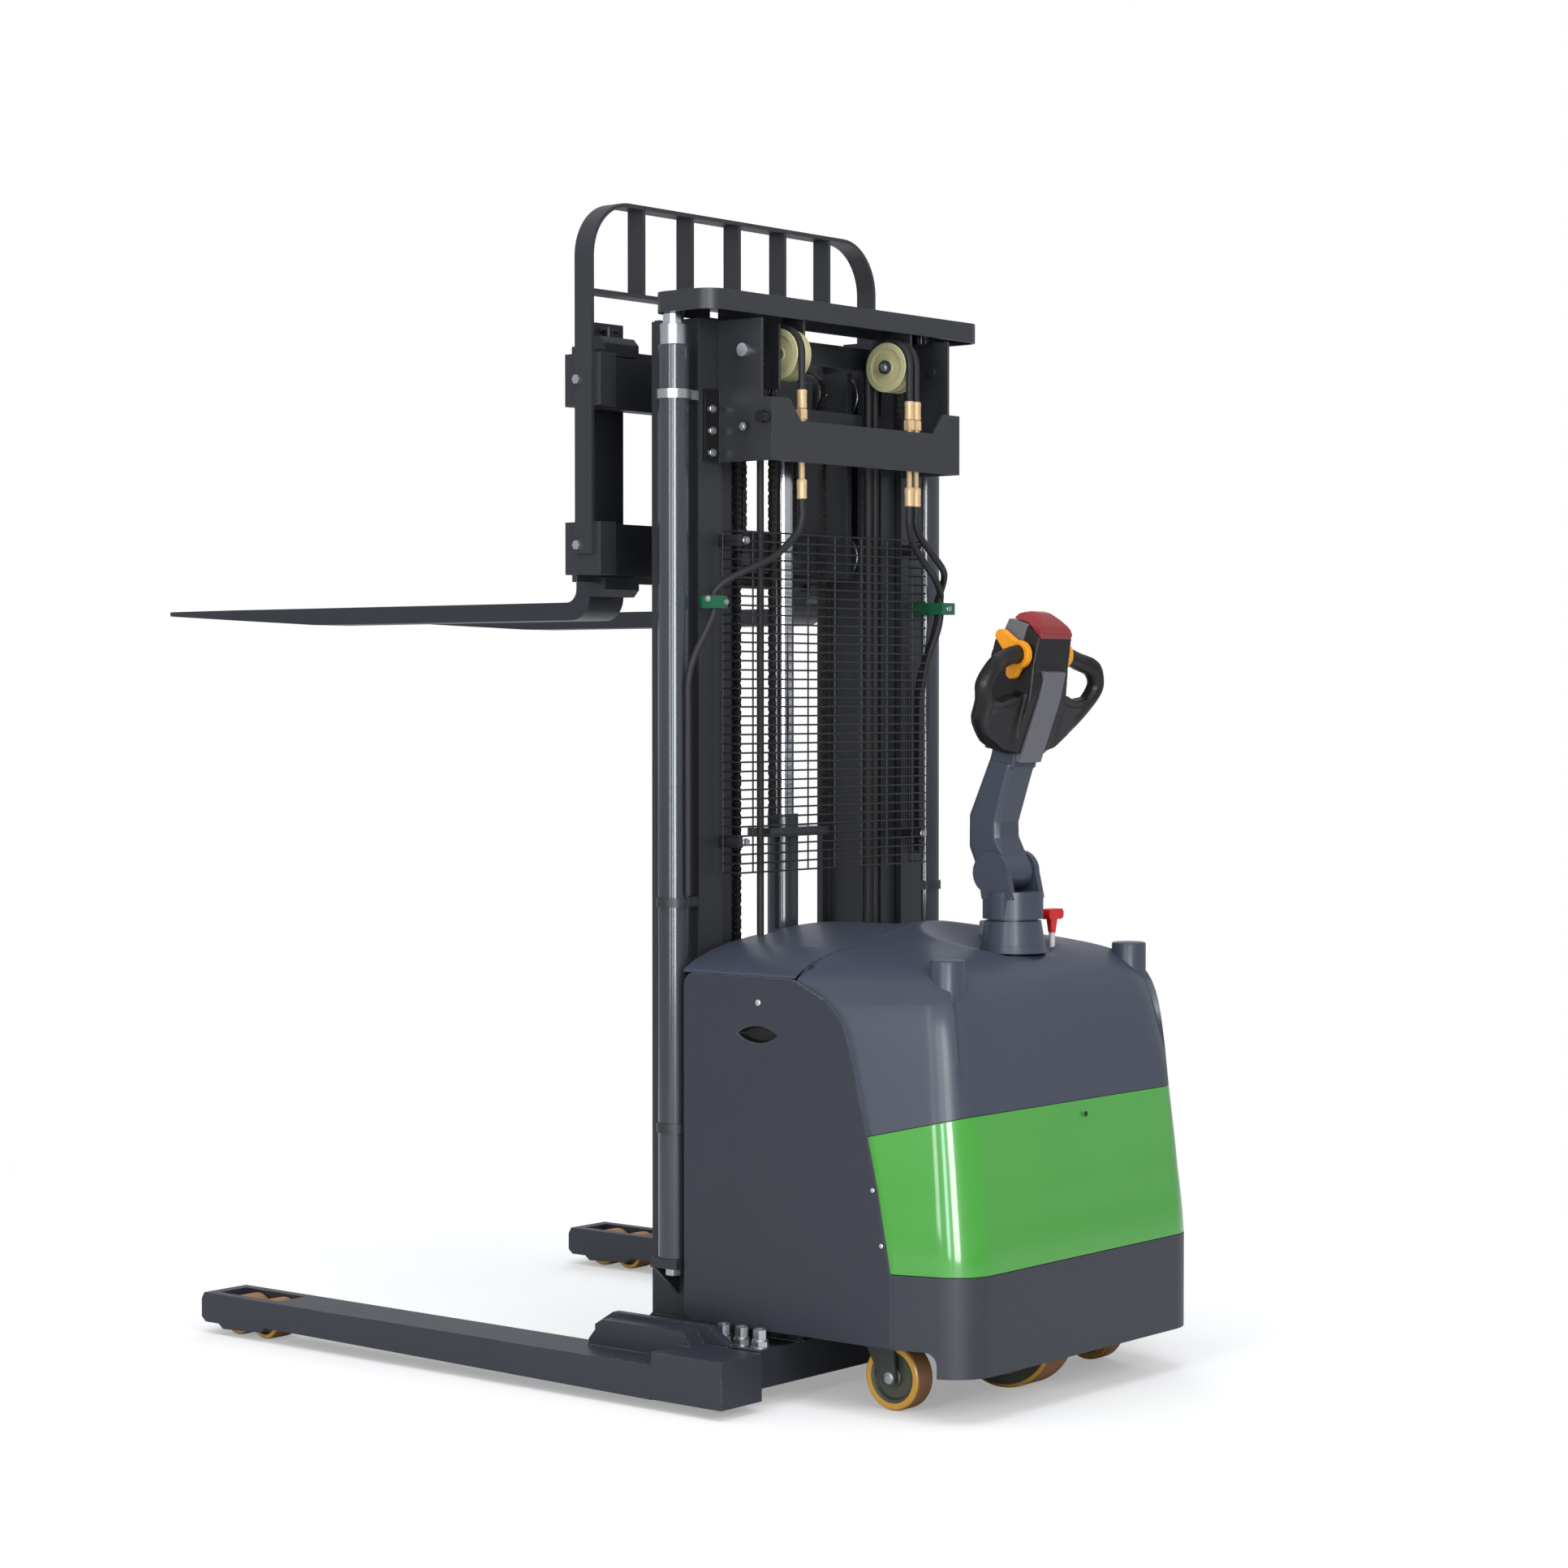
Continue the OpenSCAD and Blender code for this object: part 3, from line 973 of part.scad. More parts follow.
// Carriage
plate_y = 170;
side_plate = 16;
module carriage_bar(z, up) slab_y(-carriage_width / 2, carriage_width) {
    rect([bar_rear, z], [bar_front, z + bar_height]);
    // tongue that the forks hook over
    if (up) rect([bar_rear + 10, z + bar_height - overlap], [bar_rear + 22, z + bar_height + 14]);
    else rect([bar_rear + 10, z - 14], [bar_rear + 22, z + overlap]);
}
module fork_carriage() at_mast() color([0.2, 0.21, 0.23]) {
    carriage_bar(upper_bar_z - bar_height, true);
    carriage_bar(lower_bar_z, false);
    both_sides() {
        // side plates that carry the rollers
        slab_y(plate_y, side_plate) polygon([[roller_x(2) - 40, lower_bar_z + 4], [bar_rear + 1, lower_bar_z + 4],
            [bar_rear + 1, upper_bar_z - 4], [roller_x(2) - 40, upper_bar_z - 4]]);
        // blocks behind the ends of the fork bars
        for (z = [lower_bar_z, upper_bar_z - bar_height])
            block([bar_rear - 52, carriage_width / 2 - 46, z], [bar_rear + 1, carriage_width / 2, z + bar_height]);
        for (z = carriage_roller_z) rod_y(roller_x(2), z, plate_y + side_plate, inner_in + 22, stub_r);
        // chain lug
        block([chain_lug_x - 8, lift_chain_y - 13, 1584], [free_x + 54, lift_chain_y + 13, 1606]);
    }
    block([free_x + 52, -plate_y - 1, 1570], [free_x + 64, plate_y + 1, 1650]);
    block([free_x + 52, -plate_y - 1, upper_bar_z - 60], [free_x + 64, plate_y + 1, upper_bar_z - 4]);
}
chain_lug_x = free_x + chain_wheel_r;
stub_r = 14;
carriage_roller_z = [lower_bar_z + 50, upper_bar_z - 50];
module carriage_rollers() at_mast() color([0.5, 0.51, 0.53]) both_sides() for (z = carriage_roller_z)
    translate([roller_x(2), inner_in + 11, z]) rotate([-90, 0, 0]) wheel_ring(roller_r, stub_r + shaft_gap, 20, 2);

// Load backrest, a frame of flat bars
strip = 8;
strip_d = 44;
backrest_x = bar_rear - 2 - strip_d + 9;
backrest_rail = 2107;
module frame_outline(half, top, r) {
    rect([-half, lower_bar_z + 40], [half, top - r]);
    rect([-half + r, lower_bar_z + 40], [half - r, top]);
    for (s = [-1, 1]) translate([s * (half - r), top - r]) circle(r);
}
module load_backrest() at_mast() color([0.2, 0.21, 0.23]) {
    half = carriage_width / 2 + strip;
    slab_x(backrest_x, strip_d) difference() {
        frame_outline(half, backrest_top, backrest_corner);
        frame_outline(half - strip, backrest_top - strip, backrest_corner - strip);
    }
    block([backrest_x, -half + 1, backrest_rail - strip], [backrest_x + strip_d, half - 1, backrest_rail]);
    for (k = [-2 : 2]) block([backrest_x + 2, k * 146 - strip / 2, backrest_rail - 1],
        [backrest_x + strip_d - 2, k * 146 + strip / 2, backrest_top - 4]);
    both_sides() for (z = [lower_bar_z + bar_height / 2 + 6, upper_bar_z - bar_height / 2])
        translate([backrest_x + strip_d - 10, half, z]) rotate([-90, 0, 0]) hex_head(17, 9);
}

// Forks
heel_in = 26;
heel_out = 46;
module fork_side() difference() {
    union() {
        rect([shank_rear, fork_top_z - fork_thickness], [shank_front, upper_bar_z + 70]);
        polygon([[shank_rear, fork_top_z - fork_thickness], [shank_front + fork_length - 500, fork_top_z - fork_thickness],
            [shank_front + fork_length - 4, fork_top_z - 9], [shank_front + fork_length, fork_top_z - 5],
            [shank_front + fork_length, fork_top_z - 2], [shank_front + fork_length - 3, fork_top_z],
            [shank_rear, fork_top_z]]);
        rect([shank_front - overlap, fork_top_z - overlap], [shank_front + heel_in, fork_top_z + heel_in]);
        // hooks over the tongues of the bars
        hook(upper_bar_z, 1);
        hook(lower_bar_z, -1);
    }
    translate([shank_front + heel_in, fork_top_z + heel_in]) circle(heel_in);
    difference() {
        rect([shank_rear - 1, fork_top_z - fork_thickness - 1], [shank_rear + heel_out, fork_top_z - fork_thickness + heel_out]);
        translate([shank_rear + heel_out, fork_top_z - fork_thickness + heel_out]) circle(heel_out);
    }
}
module hook(z, s) {
    low = z + s * 0.5;
    polygon([[shank_rear + 1, low], [bar_rear + 22.5, low], [bar_rear + 22.5, low + s * 14.5], [bar_rear + 9.5, low + s * 14.5],
        [bar_rear + 9.5, low + s * 2], [bar_rear - 1, low + s * 2], [bar_rear - 1, low + s * 26], [bar_rear + 12, low + s * 40],
        [shank_rear + 1, low + s * 40]]);
}
module fork_plan() {
    tip = shank_front + fork_length;
    rect([0, -fork_width / 2], [tip - 240, fork_width / 2]);
    polygon([[tip - 241, -fork_width / 2], [tip - 22, -fork_width / 2 + 22], [tip, -fork_width / 2 + 36],
        [tip, fork_width / 2 - 36], [tip - 22, fork_width / 2 - 22], [tip - 241, fork_width / 2]]);
}
fork_y = fork_spread / 2 - fork_width / 2;
module fork() color([0.19, 0.2, 0.22]) {
    intersection() {
        slab_y(-fork_width / 2, fork_width) fork_side();
        translate([0, 0, fork_top_z - fork_thickness - 10]) linear_extrude(upper_bar_z + 100 - fork_top_z + fork_thickness)
            fork_plan();
    }
    // latch that drops into the upper bar
    rod_z(shank_rear - 6, 0, upper_bar_z + 40.5, upper_bar_z + 62, 9);
    rod_y(shank_rear - 6, upper_bar_z + 56, -24, 24, 4);
}
module fork_left() at_mast() translate([0, fork_y, 0]) fork();
module fork_right() at_mast() translate([0, -fork_y, 0]) fork();

// Chains and hoses that run over the wheels
function half_turn(x, z, r, steps = 10) = [for (k = [0 : steps]) [x - r * cos(180 * k / steps), z + r * sin(180 * k / steps)]];
module chain_run(x, z, r, back_z, front_z, y) slab_y(y - chain_w / 2, chain_w) difference() {
    union() {
        translate([x, z]) circle(r + chain_t / 2);
        rect([x - r - chain_t / 2, back_z], [x + r + chain_t / 2, z]);
    }
    translate([x, z]) circle(r - chain_t / 2);
    rect([x - r + chain_t / 2, min(back_z, front_z) - 1], [x + r - chain_t / 2, z]);
    if (front_z > back_z) rect([x, back_z - 1], [x + r + chain_t, front_z]);
}
module lift_chains() at_mast() color([0.28, 0.28, 0.3]) both_sides()
    chain_run(free_x, chain_wheel_z, chain_wheel_r, free_barrel_top - 26, 1606, lift_chain_y);
module mast_chains() at_mast() color([0.28, 0.28, 0.3]) both_sides() {
    chain_run(chain_back_x + chain_pulley_r, pulley_z, chain_pulley_r, tie[2] + 46, tie[2] + 46, chain_y);
    block([chain_front_x - chain_t / 2, chain_y - chain_w / 2, inner_foot + 54],
        [chain_front_x + chain_t / 2, chain_y + chain_w / 2, tie[2] + 47]);
}
module mast_hoses() at_mast() color([0.12, 0.12, 0.13]) for (y = hose_ys) {
    r = hose_pulley_d / 2 + 2;
    swept(concat([[hose_x, y, fitting_z[1]]],
        [for (p = half_turn(hose_pulley_x, pulley_z, r)) [p[0], y, p[1]]],
        [[hose_front_x, y, 300]]), hose_r);
}

chassis_frame();
mast_feet();
side_panels();
front_cover();
rear_hood();
rear_band();
rear_skirt();
battery_pack();
hydraulic_unit();
outer_mast();
crosstie_bracket();
lift_cylinders();
mesh_guard();
hose_fittings();
supply_hoses();
hose_clamps();
panel_screws();
leg_clamp_bolts();
emergency_knob();
ignition_key();
straddle_leg_left();
straddle_leg_right();
load_wheel_left_front();
load_wheel_left_rear();
load_wheel_right_front();
load_wheel_right_rear();
steering_turntable();
drive_motor();
drive_wheel();
caster_fork_left();
caster_fork_right();
caster_wheel_left();
caster_wheel_right();
tiller_base();
tiller_arm();
tiller_head();
tiller_cover();
throttle_paddles();
belly_button();
raise_button();
lower_button();
horn_button();
middle_mast();
top_plate();
side_lift_rods();
hose_pulleys();
chain_pulleys();
inner_mast();
free_lift_cylinder();
free_lift_rod();
chain_wheels();
fork_carriage();
carriage_rollers();
load_backrest();
fork_left();
fork_right();
lift_chains();
mast_chains();
mast_hoses();
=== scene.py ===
import json
from math import atan, copysign, cos, exp, hypot, pi, radians, sin, tau
import bpy
import bmesh
from mathutils import Matrix, Vector

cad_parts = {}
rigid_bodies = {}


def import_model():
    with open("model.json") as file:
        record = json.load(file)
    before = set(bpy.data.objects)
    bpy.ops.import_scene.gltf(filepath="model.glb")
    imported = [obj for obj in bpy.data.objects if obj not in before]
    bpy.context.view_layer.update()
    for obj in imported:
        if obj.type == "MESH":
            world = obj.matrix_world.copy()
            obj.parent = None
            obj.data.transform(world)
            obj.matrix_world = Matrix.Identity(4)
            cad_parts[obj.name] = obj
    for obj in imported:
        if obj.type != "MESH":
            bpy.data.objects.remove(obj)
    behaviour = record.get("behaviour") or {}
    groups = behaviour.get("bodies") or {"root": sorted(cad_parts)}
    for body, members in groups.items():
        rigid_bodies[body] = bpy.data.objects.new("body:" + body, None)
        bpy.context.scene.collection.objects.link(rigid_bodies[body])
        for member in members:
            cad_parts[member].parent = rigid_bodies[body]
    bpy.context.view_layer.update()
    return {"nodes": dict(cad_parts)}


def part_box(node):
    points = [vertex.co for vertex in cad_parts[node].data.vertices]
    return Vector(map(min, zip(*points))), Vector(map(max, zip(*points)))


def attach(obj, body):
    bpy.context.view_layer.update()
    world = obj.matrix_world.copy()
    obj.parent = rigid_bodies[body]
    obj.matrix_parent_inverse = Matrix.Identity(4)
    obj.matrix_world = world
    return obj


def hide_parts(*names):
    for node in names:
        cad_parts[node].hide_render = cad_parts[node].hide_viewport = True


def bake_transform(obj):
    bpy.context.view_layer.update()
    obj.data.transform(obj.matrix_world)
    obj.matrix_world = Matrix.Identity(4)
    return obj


for leftover in list(bpy.data.objects):
    bpy.data.objects.remove(leftover)
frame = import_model()
cad = frame["nodes"]
mast_plane = round(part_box("outer_mast")[0].x + 0.012, 5)

# Camera. It stands at eye height behind the truck's left corner, as in the photograph,
# about seven metres away, and looks a little downwards.
scene = bpy.context.scene
picture_px, focal_px, sensor_mm = 1932, 4237, 36
heading, dip = (0.632, -0.775), 0.0255
eye_behind, eye_left, eye_height = 4.297, 5.366, 1.32


def placed(name, data, at=(0, 0, 0), facing=None):
    """A new object in the scene, which looks the given way if it is given one."""
    made = bpy.data.objects.new(name, data)
    scene.collection.objects.link(made)
    made.location = at
    if facing is not None:
        made.rotation_euler = facing.to_track_quat("-Z", "Y").to_euler()
    return made


eye = bpy.data.cameras.new("eye")
eye.sensor_width, eye.lens, eye.clip_end = sensor_mm, sensor_mm * focal_px / picture_px, 100
look = Vector((heading[0] * cos(dip), heading[1] * cos(dip), -sin(dip)))
scene.camera = placed("eye", eye, (mast_plane - eye_behind, eye_left, eye_height), look)
scene.view_settings.view_transform = "Standard"

# Studio. A pale floor that keeps the truck's soft shadow, a white surround that metal
# mirrors, three broad lamps, and a strip and two windows on the left for the long glints.


class Wire:
    """A node's socket, which takes part in sums as a number does."""

    def __init__(self, graph, socket):
        self.graph, self.socket = graph, socket

    def sum(self, kind, *values):
        return self.graph.node("ShaderNodeMath", dict(enumerate(values)), {"operation": kind})

    def __add__(self, other):
        return self.sum("ADD", self, other)

    def __sub__(self, other):
        return self.sum("SUBTRACT", self, other)

    def __rsub__(self, other):
        return self.sum("SUBTRACT", other, self)

    def __mul__(self, other):
        return self.sum("MULTIPLY", self, other)

    def __gt__(self, other):
        return self.sum("GREATER_THAN", self, other)

    def __getitem__(self, name):
        return Wire(self.graph, self.socket.node.outputs[name])


class Graph:
    """A node tree that is being built; a short node name is one of its family."""

    def __init__(self, tree, family="ShaderNode"):
        self.tree, self.family = tree, family
        tree.nodes.clear()

    def node(self, kind, values=None, settings=None, out=0):
        made = self.tree.nodes.new(kind if "Node" in kind else self.family + kind)
        for key, value in (settings or {}).items():
            setattr(made, key, value)
        for key, value in (values or {}).items():
            for part in value if isinstance(value, list) else [value]:
                if isinstance(part, Wire):
                    self.tree.links.new(part.socket, made.inputs[key])
                else:
                    made.inputs[key].default_value = part
        return Wire(self, made.outputs[out]) if len(made.outputs) else made

    def mix(self, a, b, share):
        """A colour between a and b."""
        return self.node("Mix", {0: share, 6: a, 7: b}, {"data_type": "RGBA"}, 2)

    def ranged(self, share, low, high):
        """share mapped from 0..1 to low..high, kept inside."""
        return self.node("MapRange", {0: share, 3: low, 4: high})

    def noise(self, place, scale, detail=2.0, rough=0.5):
        return self.node("TexNoise", {"Vector": place, "Scale": scale, "Detail": detail, "Roughness": rough})

    def bump(self, height, strength, depth):
        return self.node("Bump", {"Strength": strength, "Distance": depth, "Height": height})


def tone(*colour):
    """A display colour, 0 to 255, as the shader's linear colour."""
    shares = [c / 255 for c in colour]
    return tuple(c / 12.92 if c < 0.043 else ((c + 0.055) / 1.055) ** 2.4 for c in shares) + (1,)


def new_finish(name):
    """A material, its graph and the object's own coordinates in it."""
    made = bpy.data.materials.new(name)
    made.use_nodes = True
    g = Graph(made.node_tree)
    return made, g, g.node("TexCoord", out="Object")


white, floor_half = (1, 1, 1, 1), 40
fade_start, fade_end = 1.9, 3.6
studio_floor, g, place = new_finish("studio_floor")
seen = g.node("LightPath")
paper = g.node("BsdfDiffuse", {"Color": g.mix(tone(226, 226, 227), tone(232, 232, 232), g.noise(place, 3.0))})
glow, blank = (g.node("Emission", {"Color": white, "Strength": strength}) for strength in (0.32, 1.0))
reach = g.node("VectorMath", {0: place}, {"operation": "LENGTH"}, 1)
away = g.node("MapRange", {0: reach, 1: fade_start, 2: fade_end, 3: 0.0, 4: 1.0},
              {"interpolation_type": "SMOOTHSTEP"})
lit = g.node("MixShader", {0: away, 1: g.node("AddShader", {0: paper, 1: glow}), 2: blank})
g.node("OutputMaterial", {"Surface": g.node("MixShader", {0: seen["Is Camera Ray"], 1: paper, 2: lit})})
sheet = bpy.data.meshes.new("studio_floor")
corners = ((-1, -1), (1, -1), (1, 1), (-1, 1))
sheet.from_pydata([(floor_half * x, floor_half * y, 0) for x, y in corners], [], [range(4)])
sheet.materials.append(studio_floor)
studio = placed("studio_floor", sheet)

world = bpy.data.worlds.new("surround")
scene.world = world
world.use_nodes = True
g = Graph(world.node_tree)
seen = g.node("LightPath")
shown = (seen["Is Camera Ray"] + seen["Is Glossy Ray"] * 0.8 + seen["Is Transmission Ray"]) > 0.5
soft, plain, dim = (g.node("Background", {"Color": colour, "Strength": strength}) for colour, strength in
                    (((0.92, 0.95, 1, 1), 0.42), (white, 1.0), ((0.93, 0.95, 1, 1), 0.55)))
mirrored = g.node("MixShader", {0: seen["Is Glossy Ray"], 1: plain, 2: dim})
g.node("OutputWorld", {"Surface": g.node("MixShader", {0: shown, 1: soft, 2: mirrored})})


def lamp(name, at, target, width, height, watts, tint=(1, 1, 1)):
    light = bpy.data.lights.new(name, "AREA")
    light.shape, light.size, light.size_y, light.energy, light.color = "RECTANGLE", width, height, watts, tint
    return placed(name, light, at, Vector(target) - Vector(at))


lamp("overhead", (-0.6, 0.8, 5.2), (0, 0, 1), 4.5, 4.5, 130).visible_glossy = False
lamp("far_side", (2.6, -3.6, 3.0), (0, 0, 1), 3.0, 3.0, 70).visible_glossy = False
lamp("behind_camera", (-5.5, 2.2, 3.4), (-0.3, 0, 1), 3.0, 2.5, 110).visible_glossy = False
lamp("long_strip", (-1.6, 5.2, 1.9), (-0.4, 0.2, 1.2), 0.7, 3.2, 55)
lamp("window_left", (-6.88, 5.8, 1.7), (-1.03, 0.34, 1.7), 1.9, 3.3, 300).visible_diffuse = False
lamp("window_right", (-4.79, 7.4, 1.7), (-1.03, 0.34, 1.7), 1.0, 3.3, 110, (0.78, 0.93, 1.0)).visible_diffuse = False

# Chassis frame and mast feet. Welded steel plate under the covers, sprayed dark grey; the
# copies of the plates get their edges broken, and paint is thinner along those edges.


def coated(name, colour, rough=0.45, peel=0.12, size=700, mottle=0.1, metal=0.0, coat=0.0, bare=None, streak=1):
    """A sprayed or moulded finish: broad tone drift, fine peel, uneven gloss, worn edges."""
    made, g, place = new_finish(name)
    broad = g.noise(g.node("Mapping", {"Vector": place, "Scale": (1, 1, 1 / streak)}), 4.0, 5.0, 0.62)
    fleck = g.noise(place, size * 0.35)
    low, high = (tuple(c * (1 + drift) for c in tone(*colour)[:3]) + (1,) for drift in (-mottle, mottle))
    paint = g.mix(low, high, g.ranged(broad * 0.75 + fleck * 0.25, -0.35, 1.35))
    if bare:
        edge = g.node("Attribute", {}, {"attribute_name": "edge"}, "Fac")
        paint = g.mix(paint, tone(*bare), g.ranged(edge * (broad + fleck) - 0.98, 0, 6.0))
    shine = g.ranged(broad * 0.6 + fleck * 0.4, rough - 0.09, rough + 0.09)
    surface = g.node("BsdfPrincipled", {
        "Base Color": paint, "Roughness": shine, "Metallic": metal, "Coat Weight": coat, "Coat Roughness": 0.08,
        "Normal": g.bump(g.noise(place, size), peel, 0.0006)})
    g.node("OutputMaterial", {"Surface": surface})
    return made


def stand_in(mesh, name, body, finishes, slot, *stands_for):
    """Puts a finished mesh in the scene as a piece that rides on a body."""
    piece = placed(name, mesh)
    for k, made in enumerate(finishes if isinstance(finishes, list) else [finishes]):
        if k < len(mesh.materials):
            mesh.materials[k] = made
        else:
            mesh.materials.append(made)
    if body:
        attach(piece, body)
    if stands_for:
        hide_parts(*stands_for)
    return piece


def frozen(holder):
    """The plain mesh of an object with its modifiers; the object goes."""
    bpy.context.view_layer.update()
    dg = bpy.context.evaluated_depsgraph_get()
    done = bpy.data.meshes.new_from_object(holder.evaluated_get(dg), preserve_all_data_layers=True, depsgraph=dg)
    bpy.data.objects.remove(holder)
    return done


def baked(mesh, *steps):
    """The mesh after the given modifiers, each a type and its settings."""
    holder = placed("blank", mesh)
    for kind, values in steps:
        step = holder.modifiers.new(kind.lower(), kind)
        for key, value in values.items():
            setattr(step, key, value)
    return frozen(holder)


def smoothed(shape):
    """The shape with all its faces shaded smooth."""
    for face in shape.faces:
        face.smooth = True
    return shape


def meshed(shape, name="shape", angle=35):
    """The shape as a mesh, with the edges that bend by more than the angle sharp."""
    mesh = bpy.data.meshes.new(name)
    shape.to_mesh(mesh)
    shape.free()
    if angle:
        mesh.set_sharp_from_angle(angle=radians(angle))
    return mesh


def merged(node):
    """A CAD node's surface, its faces joined at their corners."""
    shape = bmesh.new()
    shape.from_mesh(cad[node].data)
    bmesh.ops.remove_doubles(shape, verts=shape.verts, dist=2e-5)
    return shape


def broken_edges(node, width, segments=2, bend=28, pick=None, formed=None):
    """A copy of a CAD node, put into form, its edges broken by millimetres and marked for wear."""
    shape = merged(node)
    bmesh.ops.dissolve_limit(shape, angle_limit=radians(0.6), verts=shape.verts, edges=shape.edges)
    if formed:
        formed(shape)
    smoothed(shape)
    edge = shape.faces.layers.float.new("edge")
    if width:
        hard = [e for e in shape.edges if len(e.link_faces) == 2 and e.calc_face_angle(0) > radians(bend)]
        cut = bmesh.ops.bevel(shape, geom=hard, offset=width / 1000, offset_type="OFFSET", segments=segments,
                              profile=0.5, affect="EDGES", clamp_overlap=True, loop_slide=True)
        for face in cut["faces"]:
            face[edge] = 1.0
            face.smooth = True
    if pick:
        for face in shape.faces:
            face.material_index = int(pick(face.calc_center_median()))
    weighing = {"mode": "FACE_AREA", "weight": 50, "keep_sharp": True}
    return baked(meshed(shape, node, 40), ("WEIGHTED_NORMAL", weighing))


def dressed(node, name, body, finishes, slot, width=1.2, **how):
    """Stands a copy with broken edges in for a CAD node."""
    stand_in(broken_edges(node, width, **how), name, body, finishes, slot, node)


def rel(x, y, z):
    """A place measured in millimetres from the mast's rear face, in the row frame."""
    return Vector((mast_plane + x / 1000, y / 1000, z / 1000))


def from_axis(at, x, z):
    """How far a place is from an axis that runs across the truck."""
    return hypot(at.x - mast_plane - x / 1000, at.z - z / 1000)


frame_paint = coated("frame_paint", (50, 53, 61), 0.42, bare=(104, 106, 110))
mast_paint = coated("mast_paint", (49, 51, 56), 0.38, bare=(112, 114, 118), streak=6.0)
dressed("chassis_frame", "frame_plates", "chassis", frame_paint, "body_grey")
dressed("mast_feet", "mast_foot_blocks", "chassis", mast_paint, "mast_charcoal", 1.5)

# Weld beads. Where plates meet they are joined by a rippled fillet of weld, painted over
# with them; each bead is one ripple shape set along its seam a few millimetres apart.


def grown(name, base, tree, values):
    """The plain mesh that a geometry tree makes of a base mesh."""
    holder = placed(name, base)
    step = holder.modifiers.new("grow", "NODES")
    step.node_group = tree
    for item in tree.interface.items_tree:
        if item.in_out == "INPUT" and item.name in values:
            step[item.identifier] = values[item.name]
    return frozen(holder)


def tree_with(name, **inputs):
    """A geometry tree with named inputs, its graph and its input node."""
    tree = bpy.data.node_groups.new(name, "GeometryNodeTree")
    for label, kind in {"Base": "Geometry", **inputs, "Finish": "Material"}.items():
        tree.interface.new_socket(label, in_out="INPUT", socket_type="NodeSocket" + kind)
    tree.interface.new_socket("Made", in_out="OUTPUT", socket_type="NodeSocketGeometry")
    g = Graph(tree, "GeometryNode")
    return tree, g, g.node("NodeGroupInput")


def ended(g, shape, given):
    """Realises what was set out, gives it its finish and ends the tree."""
    real = g.node("RealizeInstances", {"Geometry": shape})
    g.node("NodeGroupOutput", {"Made": g.node("SetMaterial", {"Geometry": real, "Material": given["Finish"]})})


string_tree, g, given = tree_with("set_along", UnitA="Object", UnitB="Object", Pitch="Float")
line = g.node("MeshToCurve", {"Mesh": given["Base"]})
even = g.node("ResampleCurve", {"Curve": line, "Length": given["Pitch"]}, {"mode": "LENGTH"})
turn = g.node("FunctionNodeAlignRotationToVector", {"Vector": g.node("InputTangent")},
              {"axis": "X", "pivot_axis": "Y"})
index = g.node("InputIndex")
odd = index.sum("MODULO", index, 2.0) > 0.5
laid = []
for label, picked in (("UnitA", odd), ("UnitB", 1 - odd)):
    unit = g.node("ObjectInfo", {"Object": given[label]})["Geometry"]
    laid.append(g.node("InstanceOnPoints", {"Points": even, "Selection": picked, "Instance": unit, "Rotation": turn}))
ended(g, g.node("JoinGeometry", {"Geometry": laid}), given)


def runs_mesh(name, runs):
    """Open runs of points as edges, one after another."""
    points, edges = [], []
    for run in runs:
        edges += [(len(points) + k, len(points) + k + 1) for k in range(len(run) - 1)]
        points += [tuple(p) for p in run]
    mesh = bpy.data.meshes.new(name)
    mesh.from_pydata(points, edges, [])
    return mesh


def strung(name, runs, unit_a, unit_b, pitch, finish):
    """unit_a and unit_b in turn along the runs, a pitch apart."""
    units = {"UnitA": placed(name, unit_a), "UnitB": placed(name, unit_b)}
    done = grown(name, runs_mesh(name, runs), string_tree, {**units, "Pitch": pitch, "Finish": finish})
    for unit in units.values():
        bpy.data.objects.remove(unit)
    return done


ripple_pitch, ripple_radius = 0.0032, 0.0038


def welded(name, body, finish, slot, seams, sides=(1, -1)):
    """Beads along straight seams, each given by its two ends on the left side."""
    runs = [[rel(x, y * side, z) for x, y, z in (seam[:3], seam[3:])] for side in sides for seam in seams]
    stand_in(strung(name, runs, drop, drop, ripple_pitch, finish), name, body, finish, slot)


drop = bmesh.new()
bmesh.ops.create_uvsphere(drop, u_segments=8, v_segments=5, radius=ripple_radius)
bmesh.ops.scale(drop, vec=(0.55, 1, 0.8), verts=drop.verts)
drop = meshed(smoothed(drop), "ripple", None)
seams = [(-245, y, 105, -108, y, 105) for y in (130, 142, 340, 352)]
seams += [(-107.5, 274, 58, -107.5, 354, 58), (-107.5, 355, 57, -107.5, 355, 104)]
welded("frame_welds", "chassis", frame_paint, "body_grey", seams)

# Outer mast. Two rolled steel channels, open towards each other, with a cross plate at the
# foot, a bearing roller in the top of each, and bands that hold the side cylinders.
roller_steel = coated("roller_steel", (132, 134, 136), 0.3, metal=0.85, size=400, mottle=0.12, peel=0.05)
band_steel = coated("band_steel", (190, 192, 194), 0.26, metal=0.9, mottle=0.1, peel=0.04)
roller_reach = 0.0465


def outer_part(at):
    if abs(at.y) < 0.343 and from_axis(at, 76, 1984) < roller_reach:
        return 1
    return 2 if abs(at.y) > 0.36 and abs(at.z - 1.896) < 0.011 else 0


dressed("outer_mast", "outer_rails", "chassis", [mast_paint, roller_steel, band_steel], "mast_charcoal", 2,
        pick=outer_part)
welded("mast_welds", "chassis", mast_paint, "mast_charcoal", [
    (1, 355.5, 118, 119, 355.5, 118), (-0.5, 290, 118, -0.5, 352, 118), (-7, 355.5, 244, 57, 355.5, 244),
    (54, 355.5, 166, 54, 355.5, 224), (-0.5, 286, 124, -0.5, 286, 264)])

# Hexagon screws and nuts. Zinc plated, each with a washer and a chamfered head.


